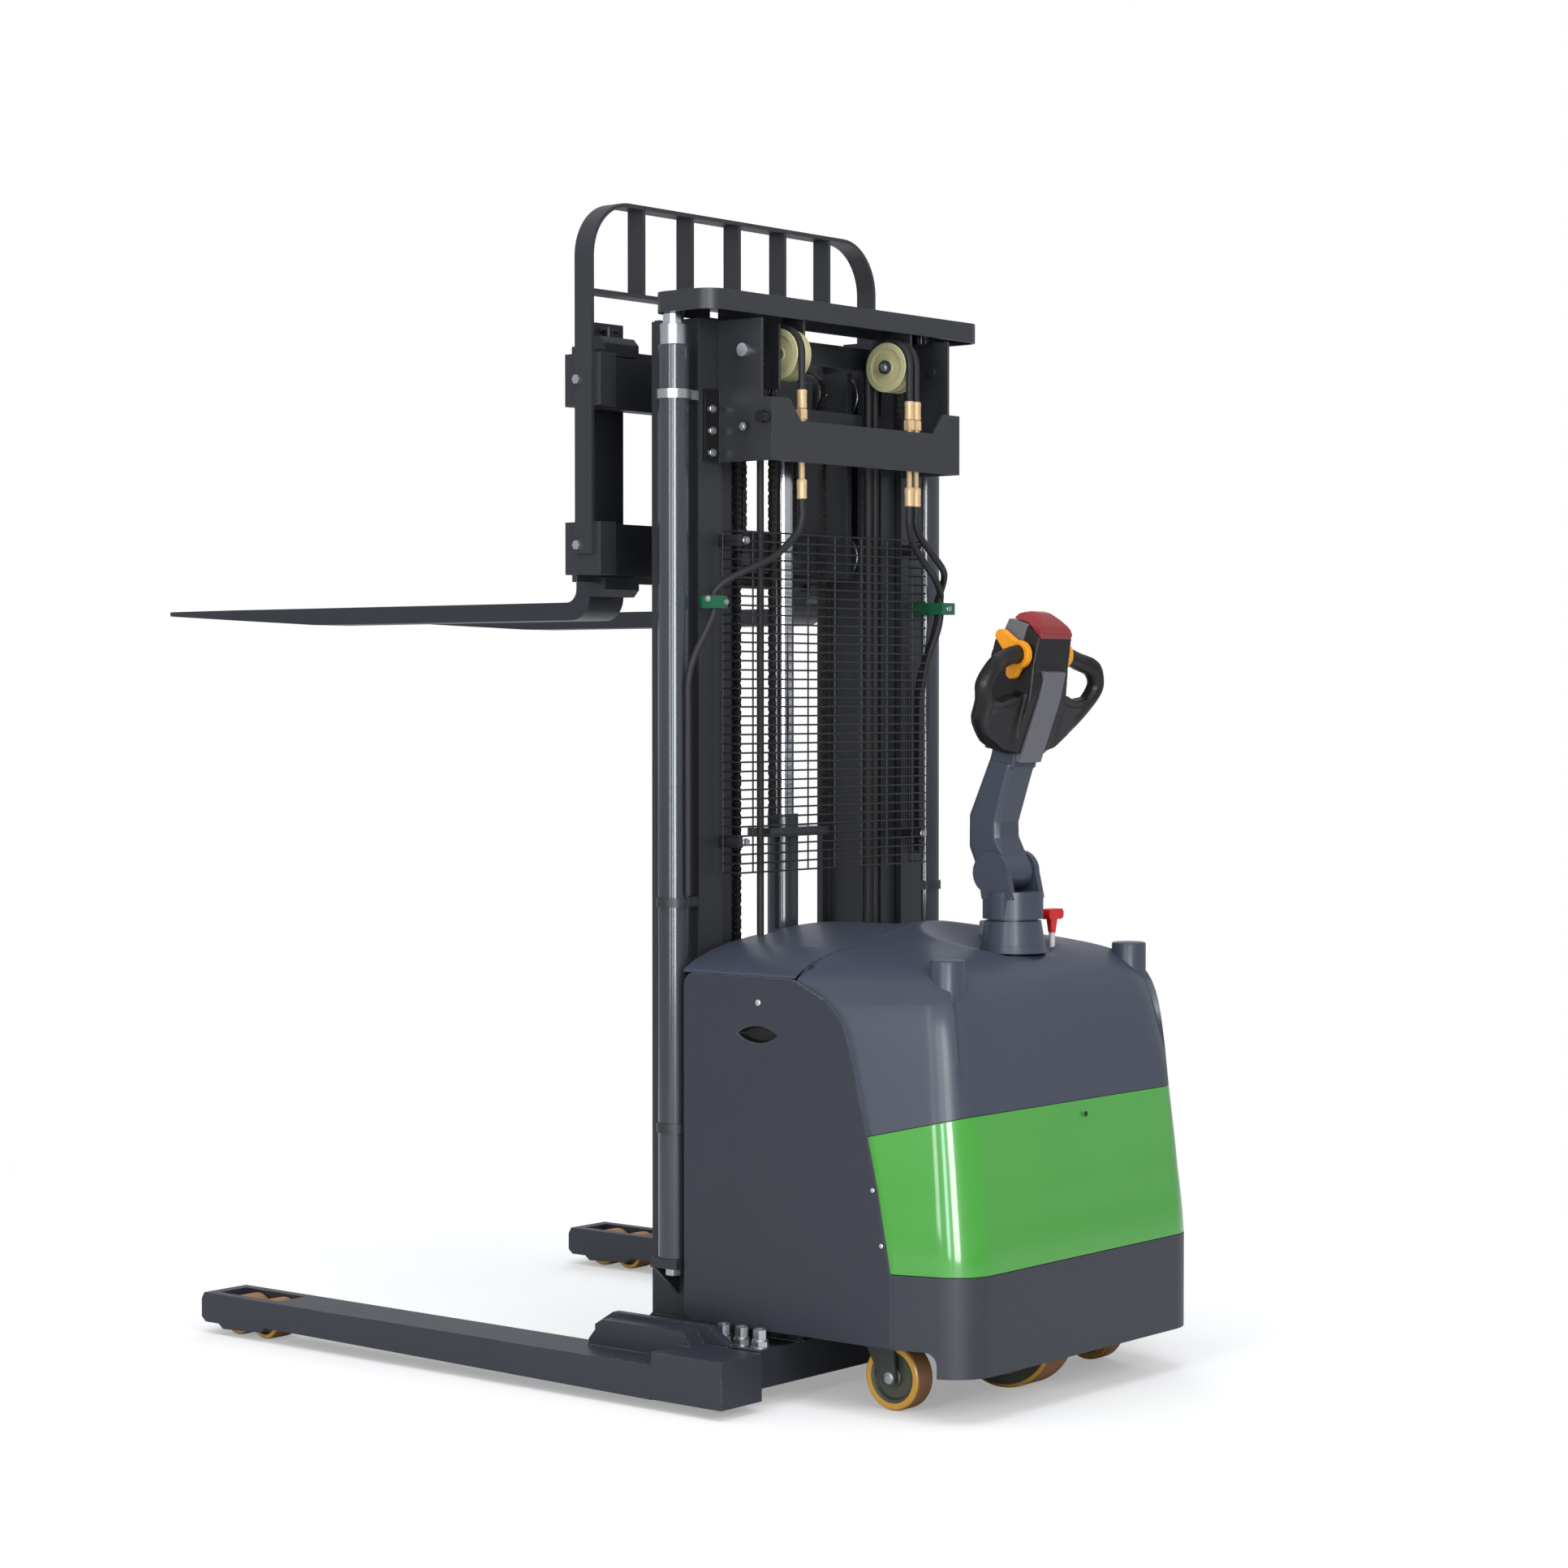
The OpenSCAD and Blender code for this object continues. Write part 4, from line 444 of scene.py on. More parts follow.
def ring_of(shape, radius, z, steps):
    """Points in a level ring, or the one point in its middle, in millimetres."""
    turns = [tau * k / steps for k in range(steps if radius else 1)]
    return [shape.verts.new((radius * cos(a) / 1000, radius * sin(a) / 1000, z / 1000)) for a in turns]


def banded(shape, rings, way=1):
    """Joins each closed ring of points to the next with four-sided faces."""
    return [shape.faces.new((a[k], a[(k + 1) % len(a)], b[(k + 1) % len(a)], b[k])[::way])
            for a, b in zip(rings, rings[1:]) for k in range(len(a))]


def turned(profile, steps=32):
    """A closed shape turned about Z from its profile of radius and height, in millimetres."""
    shape = bmesh.new()
    rows = [ring_of(shape, radius, z, steps) for radius, z in profile]
    pairs = list(zip(rows, rows[1:]))
    if len(rows[0]) > 1 and len(rows[-1]) > 1:
        pairs.append((rows[-1], rows[0]))
    for a, b in pairs:
        for k in range(steps):
            corners = list(dict.fromkeys((a[k % len(a)], a[(k + 1) % len(a)], b[(k + 1) % len(b)], b[k % len(b)])))
            if len(corners) > 2:
                shape.faces.new(corners)
    bmesh.ops.recalc_face_normals(shape, faces=shape.faces)
    return smoothed(shape)


def added(*parts):
    """Several shapes or meshes as one shape."""
    whole = bmesh.new()
    for part in parts:
        mesh = part if isinstance(part, bpy.types.Mesh) else meshed(part, "part", None)
        whole.from_mesh(mesh)
        bpy.data.meshes.remove(mesh)
    return whole


def hexagon(across, low, high, chamfer):
    """A hexagon head, chamfered at its upper end."""
    shape = bmesh.new()
    r = across / 2 / cos(pi / 6)
    rings = [ring_of(shape, reach, z, 6) for reach, z in ((r, low), (r, high - chamfer), (r - 1.7 * chamfer, high))]
    banded(shape, rings)
    shape.faces.new(rings[0][::-1])
    shape.faces.new(rings[-1])
    return shape


def hex_screw(across, height):
    """A hexagon head on its washer, with the seat at z 0."""
    a, h = across, height
    washer = turned([(a * 0.3, 0), (a * 0.62, 0), (a * 0.62, h * 0.14), (a * 0.3, h * 0.14)], 24)
    cup = turned([(0, h * 0.9), (a * 0.3, h * 0.9), (a * 0.36, h * 1.01), (0, h * 1.03)], 20)
    return meshed(added(washer, hexagon(a, h * 0.12, h, h * 0.12), cup), "hex_screw")


set_tree, g, given = tree_with("set_on", Unit="Object")
axis = g.node("InputNamedAttribute", {"Name": "axis"}, {"data_type": "FLOAT_VECTOR"})
turn = g.node("FunctionNodeAlignRotationToVector", {"Vector": axis}, {"axis": "Z"})
unit = g.node("ObjectInfo", {"Object": given["Unit"]})["Geometry"]
ended(g, g.node("InstanceOnPoints", {"Points": given["Base"], "Instance": unit, "Rotation": turn}), given)
zinc = coated("zinc", (196, 199, 203), 0.3, metal=0.92, size=260, mottle=0.16, peel=0.05)
left, back, up = Vector((0, 1, 0)), Vector((-1, 0, 0)), Vector((0, 0, 1))


def fastened(name, places, unit, body="chassis", finish=zinc, slot="zinc_steel", stands_for=()):
    """The unit set on each place, a point and the way it faces."""
    mesh = bpy.data.meshes.new(name)
    mesh.from_pydata([tuple(at) for at, way in places], [], [])
    ways = mesh.attributes.new("axis", "FLOAT_VECTOR", "POINT")
    for k, (at, way) in enumerate(places):
        ways.data[k].vector = way
    holder = placed(name, unit)
    done = grown(name, mesh, set_tree, {"Unit": holder, "Finish": finish})
    bpy.data.objects.remove(holder)
    stand_in(done, name, body, finish, slot, *stands_for)


def on_both(places):
    """The places and their mirror images on the other side."""
    return places + [(Vector((p.x, -p.y, p.z)), Vector((w.x, -w.y, w.z))) for p, w in places]


fastened("band_screws", on_both([(rel(0, 398, z), back) for z in (494, 926)]), hex_screw(12, 7))
tie_screws = [(rel(-6, 322, z), back) for z in (1788, 1830, 1872)] + [(rel(-72, 309.2, 1836), left)]
fastened("crosstie_screws", on_both(tie_screws), hex_screw(13, 6))
for name, z, size, stands_for in (("leg_screws", 105, (30, 13), ()),
                                  ("leg_nuts", 117, (24, 24), ("leg_clamp_bolts",))):
    bolts = [(rel(x, 440, z), up) for x in (-222, -178, -134)]
    fastened(name, on_both(bolts), hex_screw(*size), stands_for=stands_for)

# Crosstie bracket. A bent plate behind the rails that carries the hose couplings and the
# chain anchors, with a turned black knob on each wing and a nut above it.
knob_black = coated("knob_black", (9, 9, 10), 0.2, size=500)


def tie_part(at):
    if abs(at.y) > 0.3105 and abs(at.z - 1.852) < 0.0125:
        return 1
    return 2 if abs(at.y) > 0.3015 and abs(at.z - 1.982) < 0.0135 and abs(at.x - mast_plane + 0.072) < 0.0135 else 0


dressed("crosstie_bracket", "crosstie", "chassis", [mast_paint, knob_black, zinc], "mast_charcoal", pick=tie_part)

# Side lift cylinders. Drawn tubes sprayed with the mast, smooth and glossy, with a screwed
# gland at the top and a nut under the shelf; their ground rods are hard chromed.
barrel_paint = coated("barrel_paint", (60, 64, 73), 0.2, coat=0.4, peel=0.04, streak=8.0)
dressed("lift_cylinders", "side_barrels", "chassis", [barrel_paint, zinc], "mast_charcoal", 1.5,
        pick=lambda at: at.z > 1.9895 or at.z < 0.225)
chrome, g, place = new_finish("chrome")
ring = g.noise(g.node("Mapping", {"Vector": place, "Scale": (30, 30, 900)}), 1.0)
film = g.noise(place, 14.0, 3.0)
plated = g.node("BsdfPrincipled", {
    "Base Color": g.mix(tone(200, 203, 208), tone(228, 230, 234), film), "Metallic": 1.0,
    "Roughness": g.ranged(film * 0.7 + ring * 0.3, 0.07, 0.2), "Normal": g.bump(ring, 0.03, 0.0003)})
g.node("OutputMaterial", {"Surface": plated})
dressed("side_lift_rods", "side_rods", "mast_middle", chrome, "chrome_rod", 0)

# Mesh guard. Welded wire: close cross wires bent forward at both sides and upright wires
# ahead of them, dipped black, held by four clips with zinc plated studs.
draw_tree, g, given = tree_with("drawn", Radius="Float", Sides="Int")
line = g.node("MeshToCurve", {"Mesh": given["Base"]})
kept = g.tree.nodes.new("GeometryNodeCaptureAttribute")
kept.capture_items.clear()
kept.capture_items.new("FLOAT", "Run")
g.tree.links.new(line.socket, kept.inputs["Geometry"])
g.tree.links.new(g.node("SplineParameter")["Length"].socket, kept.inputs["Run"])
kept = Wire(g, kept.outputs[0])
ring = g.node("CurvePrimitiveCircle", {"Resolution": given["Sides"], "Radius": given["Radius"]})
tube = g.node("CurveToMesh", {"Curve": kept, "Profile Curve": ring, "Fill Caps": True})
ended(g, g.node("StoreNamedAttribute", {"Geometry": tube, "Name": "run", "Value": kept["Run"]},
                {"data_type": "FLOAT", "domain": "POINT"}), given)


def drawn(name, runs, radius, sides, finish):
    """Round wire or hose along each run of points, its radius in millimetres."""
    made = grown(name, runs_mesh(name, runs), draw_tree, {"Radius": radius / 1000, "Sides": sides, "Finish": finish})
    for face in made.polygons:
        face.use_smooth = True
    made.set_sharp_from_angle(angle=radians(50))
    return made


def rounded(points, radius, steps=4):
    """The run of points with each corner turned into an arc-like bend."""
    run = [points[0]]
    for before, corner, after in zip(points, points[1:], points[2:]):
        reach = min(radius, (before - corner).length * 0.49, (after - corner).length * 0.49)
        a, b = (corner + (end - corner).normalized() * reach for end in (before, after))
        for t in (k / steps for k in range(steps + 1)):
            run.append(a * (1 - t) ** 2 + corner * 2 * t * (1 - t) + b * t ** 2)
    return run + [points[-1]]


def block(shape, low, high):
    """Adds a box between two corners in millimetres."""
    a, b = rel(*low), rel(*high)
    corners = bmesh.ops.create_cube(shape, size=1)["verts"]
    bmesh.ops.scale(shape, vec=[abs(c) for c in b - a], verts=corners)
    bmesh.ops.translate(shape, vec=(a + b) / 2, verts=corners)


wire_black = coated("wire_black", (34, 35, 38), 0.42, size=900)
rows, wire, guard_low, guard_high, guard_side = 38, 3.6, 978, 1639, 298.2
guard = []
for k in range(rows):
    z = guard_low + k * (guard_high - guard_low - wire) / (rows - 1) + wire / 2
    corners = ((-13, guard_side), (-54.2, guard_side), (-54.2, -guard_side), (-13, -guard_side))
    guard.append(rounded([rel(x, y, z) for x, y in corners], 0.004))
for x, y in [(-51.6, y) for y in range(-255, 256, 85)] + [(-12.2, guard_side), (-12.2, -guard_side)]:
    guard.append([rel(x, y, guard_low + 0.3), rel(x, y, guard_high - 0.3)])
guard = drawn("guard_wires", guard, wire / 2, 8, wire_black)
stand_in(guard, "guard_wires", "chassis", wire_black, "black_wire", "mesh_guard")
clips, clip_zs = bmesh.new(), (1028, 1609)
for side in (1, -1):
    for z in clip_zs:
        block(clips, (-54, 288 * side, z), (-0.5, 296.4 * side, z + 22))
bmesh.ops.bevel(clips, geom=clips.edges[:], offset=0.0012, segments=2, affect="EDGES", profile=0.5)
stand_in(meshed(clips, "guard_clips"), "guard_clips", "chassis", wire_black, "black_wire")
fastened("guard_studs", on_both([(rel(-56, 284, z + 11), back) for z in clip_zs]), hex_screw(12, 8))

# Hydraulic hoses. Black rubber hoses come up from the valve block, run through green
# clamps on the rails and end in crimped, gold-passivated couplings on the crosstie.
hose_rubber, g, place = new_finish("hose_rubber")
grit = g.noise(place, 260.0, 4.0)
run = g.node("Attribute", {}, {"attribute_name": "run"}, "Fac")
wrap = run.sum("SINE", run * 1570.0)
hide = g.node("BsdfPrincipled", {
    "Base Color": g.mix(tone(22, 22, 23), tone(44, 44, 46), grit), "Roughness": g.ranged(grit, 0.48, 0.72),
    "Normal": g.bump(wrap * 0.5 + grit, 0.25, 0.0005)})
g.node("OutputMaterial", {"Surface": hide})
hose_x, hose_ys, hose_radius = -118, (187, -157, -179), 7


def bent(route, steps=6):
    """A smooth run through the points of a route."""
    points = [rel(*p) for p in route]
    run = []
    for k in range(len(points) - 1):
        a, b, c, d = (points[max(0, min(len(points) - 1, k + j))] for j in (-1, 0, 1, 2))
        for t in (s / steps for s in range(steps)):
            bend, twist = 2 * a - 5 * b + 4 * c - d, 3 * b - a - 3 * c + d
            run.append(0.5 * (2 * b + (c - a) * t + bend * t * t + twist * t ** 3))
    return run + [points[-1]]


routes = [[(hose_x, y, z) for z in (1700, 1688, 1666)] + rest for y, rest in zip(hose_ys, (
    [(-114, 198, 1634), (-104, 250, 1590), (-84, 310, 1562), (-60, 350, 1538), (-46, 364, 1516),
     (-46, 364, 1484), (-38, 374, 1450), (-22, 392, 1400), (-14, 402, 1350), (-13, 402, 1280), (-13, 402, 940)],
    [(-112, -176, 1630), (-104, -226, 1590), (-88, -284, 1560), (-70, -326, 1532), (-64, -334, 1516),
     (-64, -334, 1484), (-60, -328, 1450), (-46, -318, 1400), (-34, -314, 1340), (-30, -312, 1280),
     (-30, -312, 1000)],
    [(-117, -196, 1640), (-110, -248, 1606), (-90, -312, 1572), (-54, -348, 1534), (-44, -352, 1516),
     (-44, -352, 1484), (-38, -344, 1440), (-24, -334, 1390), (-12, -330, 1340), (-10, -330, 1280),
     (-10, -330, 1000)]))]
hoses = drawn("supply_hose_runs", [bent(route) for route in routes], hose_radius, 14, hose_rubber)
stand_in(hoses, "supply_hose_runs", "chassis", hose_rubber, "hose_rubber", "supply_hoses")


def crimped(z):
    """The ribs of a crimp that starts at a height."""
    return [(9.2 if k % 2 else 10, z + 3 * k) for k in range(7)]


brass = coated("brass", (228, 196, 150), 0.42, metal=0.2, size=420, mottle=0.14, peel=0.05)
ferrule = turned([(5.5, 0), (9.4, 2)] + crimped(6) + [(10, 36), (8.5, 39), (5.5, 39.5)], 20)
stem = turned([(4.5, 38), (5.6, 40), (5.6, 112), (7.5, 117), (8, 120), (8, 156), (4.5, 157)], 20)
sleeve = turned([(5.5, 174), (9.8, 176)] + crimped(184) + [(10, 210), (8, 211.8), (5.5, 212)], 20)
coupling = added(ferrule, stem, hexagon(20.5, 154, 175, 2), sleeve, hexagon(20.5, 131, 139, 1))
fastened("hose_couplings", [(rel(hose_x, y, 1700), up) for y in hose_ys], meshed(coupling, "coupling"),
         finish=brass, slot="brass_fitting", stands_for=("hose_fittings",))
clamp_green = coated("clamp_green", (22, 104, 70), 0.4, size=500)
dressed("hose_clamps", "clamps", "chassis", clamp_green, "clamp_green", 1.5)
fastened("clamp_screws", [(rel(-58, 345, 1500), back), (rel(-45, 380, 1506), left), (rel(-78, -344, 1500), back)],
         hex_screw(10, 5))

# Moulded hood, green band and top cover. Glass-fibre mouldings four millimetres thick,
# drawn in towards the top, sprayed with a soft gloss; the tiller turns in a round bowl.
cover_paint = coated("cover_paint", (66, 72, 87), 0.36, coat=0.05, peel=0.06, mottle=0.05, size=500)
band_paint = coated("band_paint", (66, 168, 48), 0.34, coat=1.0, peel=0.05, mottle=0.05, size=500)
panel_paint = coated("panel_paint", (52, 56, 66), 0.42, peel=0.12, mottle=0.05, bare=(96, 99, 106))
# heights of the body, and how far its back and its sides are drawn in there
insets = [(84, 0, 0), (252, 0, 0), (420, 16, 10), (557, 33, 20), (650, 43, 27), (719, 54, 34), (762, 66, 46),
          (792, 84, 66), (814, 112, 98), (830, 148, 142), (842, 196, 196), (850, 250, 256), (854, 300, 318)]
length, half, flare, front = 662, 420, 0.306, -292.5
lean = atan(flare)
seam_low, hood_top, band_low, tiller_x = 557, 854, 269, -486
# in metres: the crown's foot and rise, the hump's rise, the bowl's floor, radius and rim
crown_foot, crown_rise, hump_rise = 0.8, 0.015, 0.026
bowl_floor, bowl_slope, bowl_radius, bowl_rim = 0.828, 0.52, 0.085, 0.008
wall, broken_rim = 0.004, 0.0011


def inset_at(z, column):
    """How far the body is drawn in at height z, on a curve without overshoot."""
    xs, ys = [r[0] for r in insets], [r[column] for r in insets]
    slopes = [(ys[k + 1] - ys[k]) / (xs[k + 1] - xs[k]) for k in range(len(xs) - 1)]
    ends = [slopes[0]] + [0 if a * b <= 0 else 2 * a * b / (a + b) for a, b in zip(slopes, slopes[1:])] + [slopes[-1]]
    k = max(0, min(len(slopes) - 1, sum(1 for x in xs[1:] if x <= z)))
    h = xs[k + 1] - xs[k]
    t = min(1, max(0, (z - xs[k]) / h))
    return ((2 * t ** 3 - 3 * t * t + 1) * ys[k] + (t ** 3 - 2 * t * t + t) * h * ends[k]
            + (3 * t * t - 2 * t ** 3) * ys[k + 1] + (t ** 3 - t * t) * h * ends[k + 1])


def half_plan(z, counts):
    """Points of the body's left half at height z, from the middle of the back to the front."""
    drawn_back, drawn_side = inset_at(z, 1), inset_at(z, 2)
    rear = -length + drawn_back
    r = max(90 - drawn_back * 0.3, 30)
    y0 = half + (drawn_back - 157) * flare - drawn_side + r * flare - r / cos(lean)
    points = [(rear, y0 * k / counts[0]) for k in range(counts[0])]
    turns = [(pi / 2 - lean) * k / counts[1] for k in range(counts[1] + 1)]
    points += [(rear + r - r * cos(a), y0 + r * sin(a)) for a in turns]
    x1, y1 = points.pop()
    x2 = min(front, x1 + (416.4 - y1) / flare)
    points += [(x1 + (x2 - x1) * k / counts[2], y1 + (x2 - x1) * flare * k / counts[2]) for k in range(counts[2] + 1)]
    return points + [(x2 + (front - x2) * (0.04 + 0.48 * k), points[-1][1]) for k in range(3)]


def seam_height(x):
    """The height of the seam between hood and band, which falls towards the front."""
    return seam_low - 0.238 * (x + length - 33)


def eased(t):
    t = min(1, max(0, t))
    return t * t * (3 - 2 * t)


def cut_across(shape, places, axis):
    """Loops of edges where planes square to an axis cross the shape."""
    for at in places:
        bmesh.ops.bisect_plane(shape, geom=shape.verts[:] + shape.edges[:] + shape.faces[:], dist=2e-4,
                               plane_co=Vector(axis) * at, plane_no=axis)


def crowned(shape):
    """Lifts the middle of the covers' top, and sinks the bowl round the tiller into it."""
    for v in shape.verts:
        reach = hypot(v.co.x - rel(tiller_x, 0, 0).x, v.co.y)
        hump = exp(-((v.co.x - rel(-390, 0, 0).x) / 0.14) ** 2 - (v.co.y / 0.09) ** 2)
        crown = crown_rise * max(0, 1 - (v.co.y / 0.26) ** 2) ** 2 + hump_rise * hump
        v.co.z += eased((v.co.z - crown_foot) / 0.05) * crown
        bowl = bowl_floor + bowl_slope * max(0, reach - bowl_radius)
        near = max(0, bowl_rim - abs(v.co.z - bowl))
        if v.co.z > crown_foot:
            v.co.z = min(v.co.z, bowl) - near * near / (4 * bowl_rim)


def crown_cut(shape):
    """Gives a CAD cover the edges it needs to be crowned, and crowns it."""
    cut_across(shape, [k / 1000 for k in range(-280, 281, 40)], (0, 1, 0))
    cut_across(shape, [rel(k, 0, 0).x for k in range(-280, -19, 40)], (1, 0, 0))
    crowned(shape)


def cover_skin(lower, upper, heights, valley=0, capped=False, counts=(10, 14, 14)):
    """The body's surface between two heights, which may depend on the place along the truck."""
    columns, crease = [], counts[0] + 6
    for c in range(sum(counts) + 4):
        low, high = lower(-500), upper(-500)
        for _ in range(8):
            low, high = lower(half_plan(low, counts)[c][0]), upper(half_plan(high, counts)[c][0])
        column = []
        for t in heights:
            z = low + (high - low) * t
            plan = half_plan(z, counts)
            x, y = plan[c]
            if valley and c < crease:
                rise = eased((z - 575) / 170) * min(1, max(0, (835 - z) / 30))
                x += valley * rise * exp(-((plan[crease][1] - y) / 42) ** 2)
            column.append((x, y, z))
        columns.append(column)
    shape = bmesh.new()
    grid = [[shape.verts.new(rel(*p)) for p in column] for column in columns]
    other = [grid[0]] + [[shape.verts.new(rel(p[0], -p[1], p[2])) for p in column] for column in columns[1:]]
    whole = other[:0:-1] + grid
    for a, b in zip(whole, whole[1:]):
        for k in range(len(heights) - 1):
            shape.faces.new((a[k], a[k + 1], b[k + 1], b[k]))
    if capped:
        start, parts = counts[0], 2 * counts[0]
        row = [column[-1] for column in other[start:0:-1] + grid[:start + 1]]
        for c in range(start + 1, len(grid)):
            a, b = other[c][-1], grid[c][-1]
            following = [a] + [shape.verts.new(a.co.lerp(b.co, k / parts)) for k in range(1, parts)] + [b]
            for k in range(parts):
                shape.faces.new((row[k], row[k + 1], following[k + 1], following[k]))
            row = following
    bmesh.ops.remove_doubles(shape, verts=shape.verts, dist=2e-4)
    bmesh.ops.recalc_face_normals(shape, faces=shape.faces)
    if sum(face.normal.x for face in shape.faces if face.calc_center_median().x < -1.0) > 0:
        bmesh.ops.reverse_faces(shape, faces=shape.faces)
    if capped:
        crowned(shape)
    return meshed(smoothed(shape), "skin", None)


def walled(mesh, *cuts):
    """A skin with its wall, its cut-outs and its edges broken."""
    tools = [placed("cut", cut) for cut in cuts]
    steps = [("SOLIDIFY", {"thickness": wall, "offset": -1, "use_even_offset": False})]
    steps += [("BOOLEAN", {"operation": "DIFFERENCE", "solver": "EXACT", "object": tool}) for tool in tools]
    steps += [("BEVEL", {"width": broken_rim, "segments": 2, "limit_method": "ANGLE", "angle_limit": radians(50),
                         "harden_normals": True})]
    done = baked(mesh, *steps)
    for tool in tools:
        bpy.data.objects.remove(tool)
    return done


def upright(profile, x, y, steps=64):
    """A shape turned about an upright axis at a place, its profile's heights from the floor."""
    shape = turned(profile, steps)
    bmesh.ops.translate(shape, vec=rel(x, y, 0), verts=shape.verts)
    return shape


def hole(radius, low, high, x, y, steps):
    return meshed(upright([(0, low), (radius, low), (radius, high), (0, high)], x, y, steps), "hole")


def height_where(inset):
    """The height at which the back has drawn in by this much."""
    low, high = seam_low, hood_top
    for _ in range(30):
        middle = (low + high) / 2
        low, high = (middle, high) if inset_at(middle, 1) < inset else (low, middle)
    return low


levels = [k / 16 for k in range(12)]
levels += [(height_where(k) - seam_low) / (hood_top - seam_low) for k in range(66, 316, 8)] + [1.0]
skin = cover_skin(seam_height, lambda x: hood_top, levels, valley=13, capped=True, counts=(28, 14, 14))
hood = walled(skin, hole(35.5, 790, 870, tiller_x, 0, 64), hole(6.05, 800, 900, -505, -103, 24),
              hole(9.05, 800, 900, -372, -66, 24))
post = [(0, 700), (33.5, 700), (33.5, 833.5), (32.5, 835.8), (30, 836.8), (26, 836.2), (0, 835.8)]
posts = [meshed(upright(post, -552, side * 300, 40), "post") for side in (1, -1)]
hood = meshed(added(hood, *posts), "hood_moulding", None)
stand_in(hood, "hood_moulding", "chassis", cover_paint, "cover_grey", "rear_hood")
band = cover_skin(lambda x: band_low, lambda x: seam_height(x) - 1, [k / 14 for k in range(15)])
stand_in(walled(band), "band_moulding", "chassis", band_paint, "band_green", "rear_band")


def heightened(shape):
    """The skirt reaches up to the band's lower edge."""
    for v in shape.verts:
        v.co.z += 0.017 * eased((v.co.z - 0.2) / 0.04)


dressed("rear_skirt", "skirt_panel", "chassis", panel_paint, "body_grey", formed=heightened)
dressed("front_cover", "top_cover", "chassis", cover_paint, "cover_grey", bend=35, formed=crown_cut)

# Side panels and their screws. Folded sheet steel, lifted off by a lens-shaped hand slot
# with a black moulded cup behind it; small domed screws hold the panels and the band.
creases = (-62, -306)


def creased(shape):
    """Two shallow upright folds in each panel's outer face."""
    for at in creases:
        cut_across(shape, [rel(at + off, 0, 0).x for off in (-2.5, 0, 2.5)], (1, 0, 0))
    for v in shape.verts:
        if abs(v.co.y) > 0.4195 and min(abs(v.co.x - rel(at, 0, 0).x) for at in creases) < 1e-4:
            v.co.y -= copysign(0.0009, v.co.y)


dressed("side_panels", "side_sheets", "chassis", panel_paint, "body_grey", formed=creased)
cup_black = coated("cup_black", (14, 14, 15), 0.5, size=800)
cups = bmesh.new()
for side in (1, -1):
    rings = []
    for depth, share in ((417, 1.10), (416.2, 1.03), (410, 0.97), (403, 0.86), (400.5, 0.6), (400, 0.02)):
        lens = [(49 * cos(a), 16 * sin(a) * (1 - 0.28 * abs(cos(a)) ** 3)) for a in (tau * k / 40 for k in range(40))]
        rings.append([cups.verts.new(rel(-199 + share * x, side * depth, 687 + share * z)) for x, z in lens])
    for face in banded(cups, rings, side):
        face.smooth = True
    cups.faces.new(rings[-1][::side])
cups = baked(meshed(cups, "cups"), ("SOLIDIFY", {"thickness": 0.0015, "offset": -1}))
stand_in(cups, "slot_cups", "chassis", cup_black, "black_plastic")


def pan_head(radius, height):
    """A domed screw head with a cross recess, on its seat."""
    r, h = radius, height
    head = turned([(0, 0), (r, 0), (r, h * 0.35), (r * 0.86, h * 0.75), (r * 0.5, h), (0, h)], 24)
    slot = bmesh.new()
    for w, l in ((0.16, 0.62), (0.62, 0.16)):
        part = bmesh.ops.create_cube(slot, size=1)["verts"]
        bmesh.ops.scale(slot, vec=[c / 1000 for c in (r * w * 1.6, r * l * 1.6, h * 0.06)], verts=part)
        bmesh.ops.translate(slot, vec=(0, 0, h * 0.99 / 1000), verts=part)
    return meshed(added(head, slot), "pan_head")


screw_white = coated("screw_white", (214, 216, 218), 0.3, metal=0.6, mottle=0.06, peel=0.04)
fastened("panel_heads", on_both([(rel(-201, 420, 747), left)]), pan_head(6, 2.6), finish=screw_white)
fastened("band_heads", on_both([(rel(-472, 420, 419), left), (rel(-492, 420, 319), left)]), pan_head(4.5, 2),
         finish=screw_white)
fastened("rear_head", [(rel(-637, -26, 530), back)], pan_head(5, 2.6), finish=cup_black,
         stands_for=("panel_screws",))

# Battery, hydraulic unit and drive unit. They sit under the covers: a ribbed battery tray,
# a steel tank with its pump, a cast turntable with the finned drive motor upon it.
battery_case = coated("battery_case", (52, 55, 60), 0.5, size=600)
tank_paint = coated("tank_paint", (40, 42, 46), 0.38, bare=(120, 120, 122))
cast_iron = coated("cast_iron", (96, 98, 102), 0.48, metal=0.55, size=260, mottle=0.16, peel=0.25)
for node, body, paint, slot in (("battery_pack", "chassis", battery_case, "battery_case"),
                                ("hydraulic_unit", "chassis", tank_paint, "machined_steel"),
                                ("steering_turntable", "steering", cast_iron, "machined_steel"),
                                ("drive_motor", "steering", tank_paint, "machined_steel")):
    dressed(node, node + "_piece", body, paint, slot, 1.5)

# Straddle legs. Box tubes with gussets, welded up and sprayed with the mast, each with the
# tube that slides in the cross beam and two axle pins of bright steel.
leg_tip = (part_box("straddle_leg_left")[1].x - mast_plane) * 1000
load_axles, axle_z = (leg_tip - 81, leg_tip - 162), 40
leg_paint = coated("leg_paint", (50, 54, 63), 0.42, bare=(118, 120, 124), mottle=0.12)


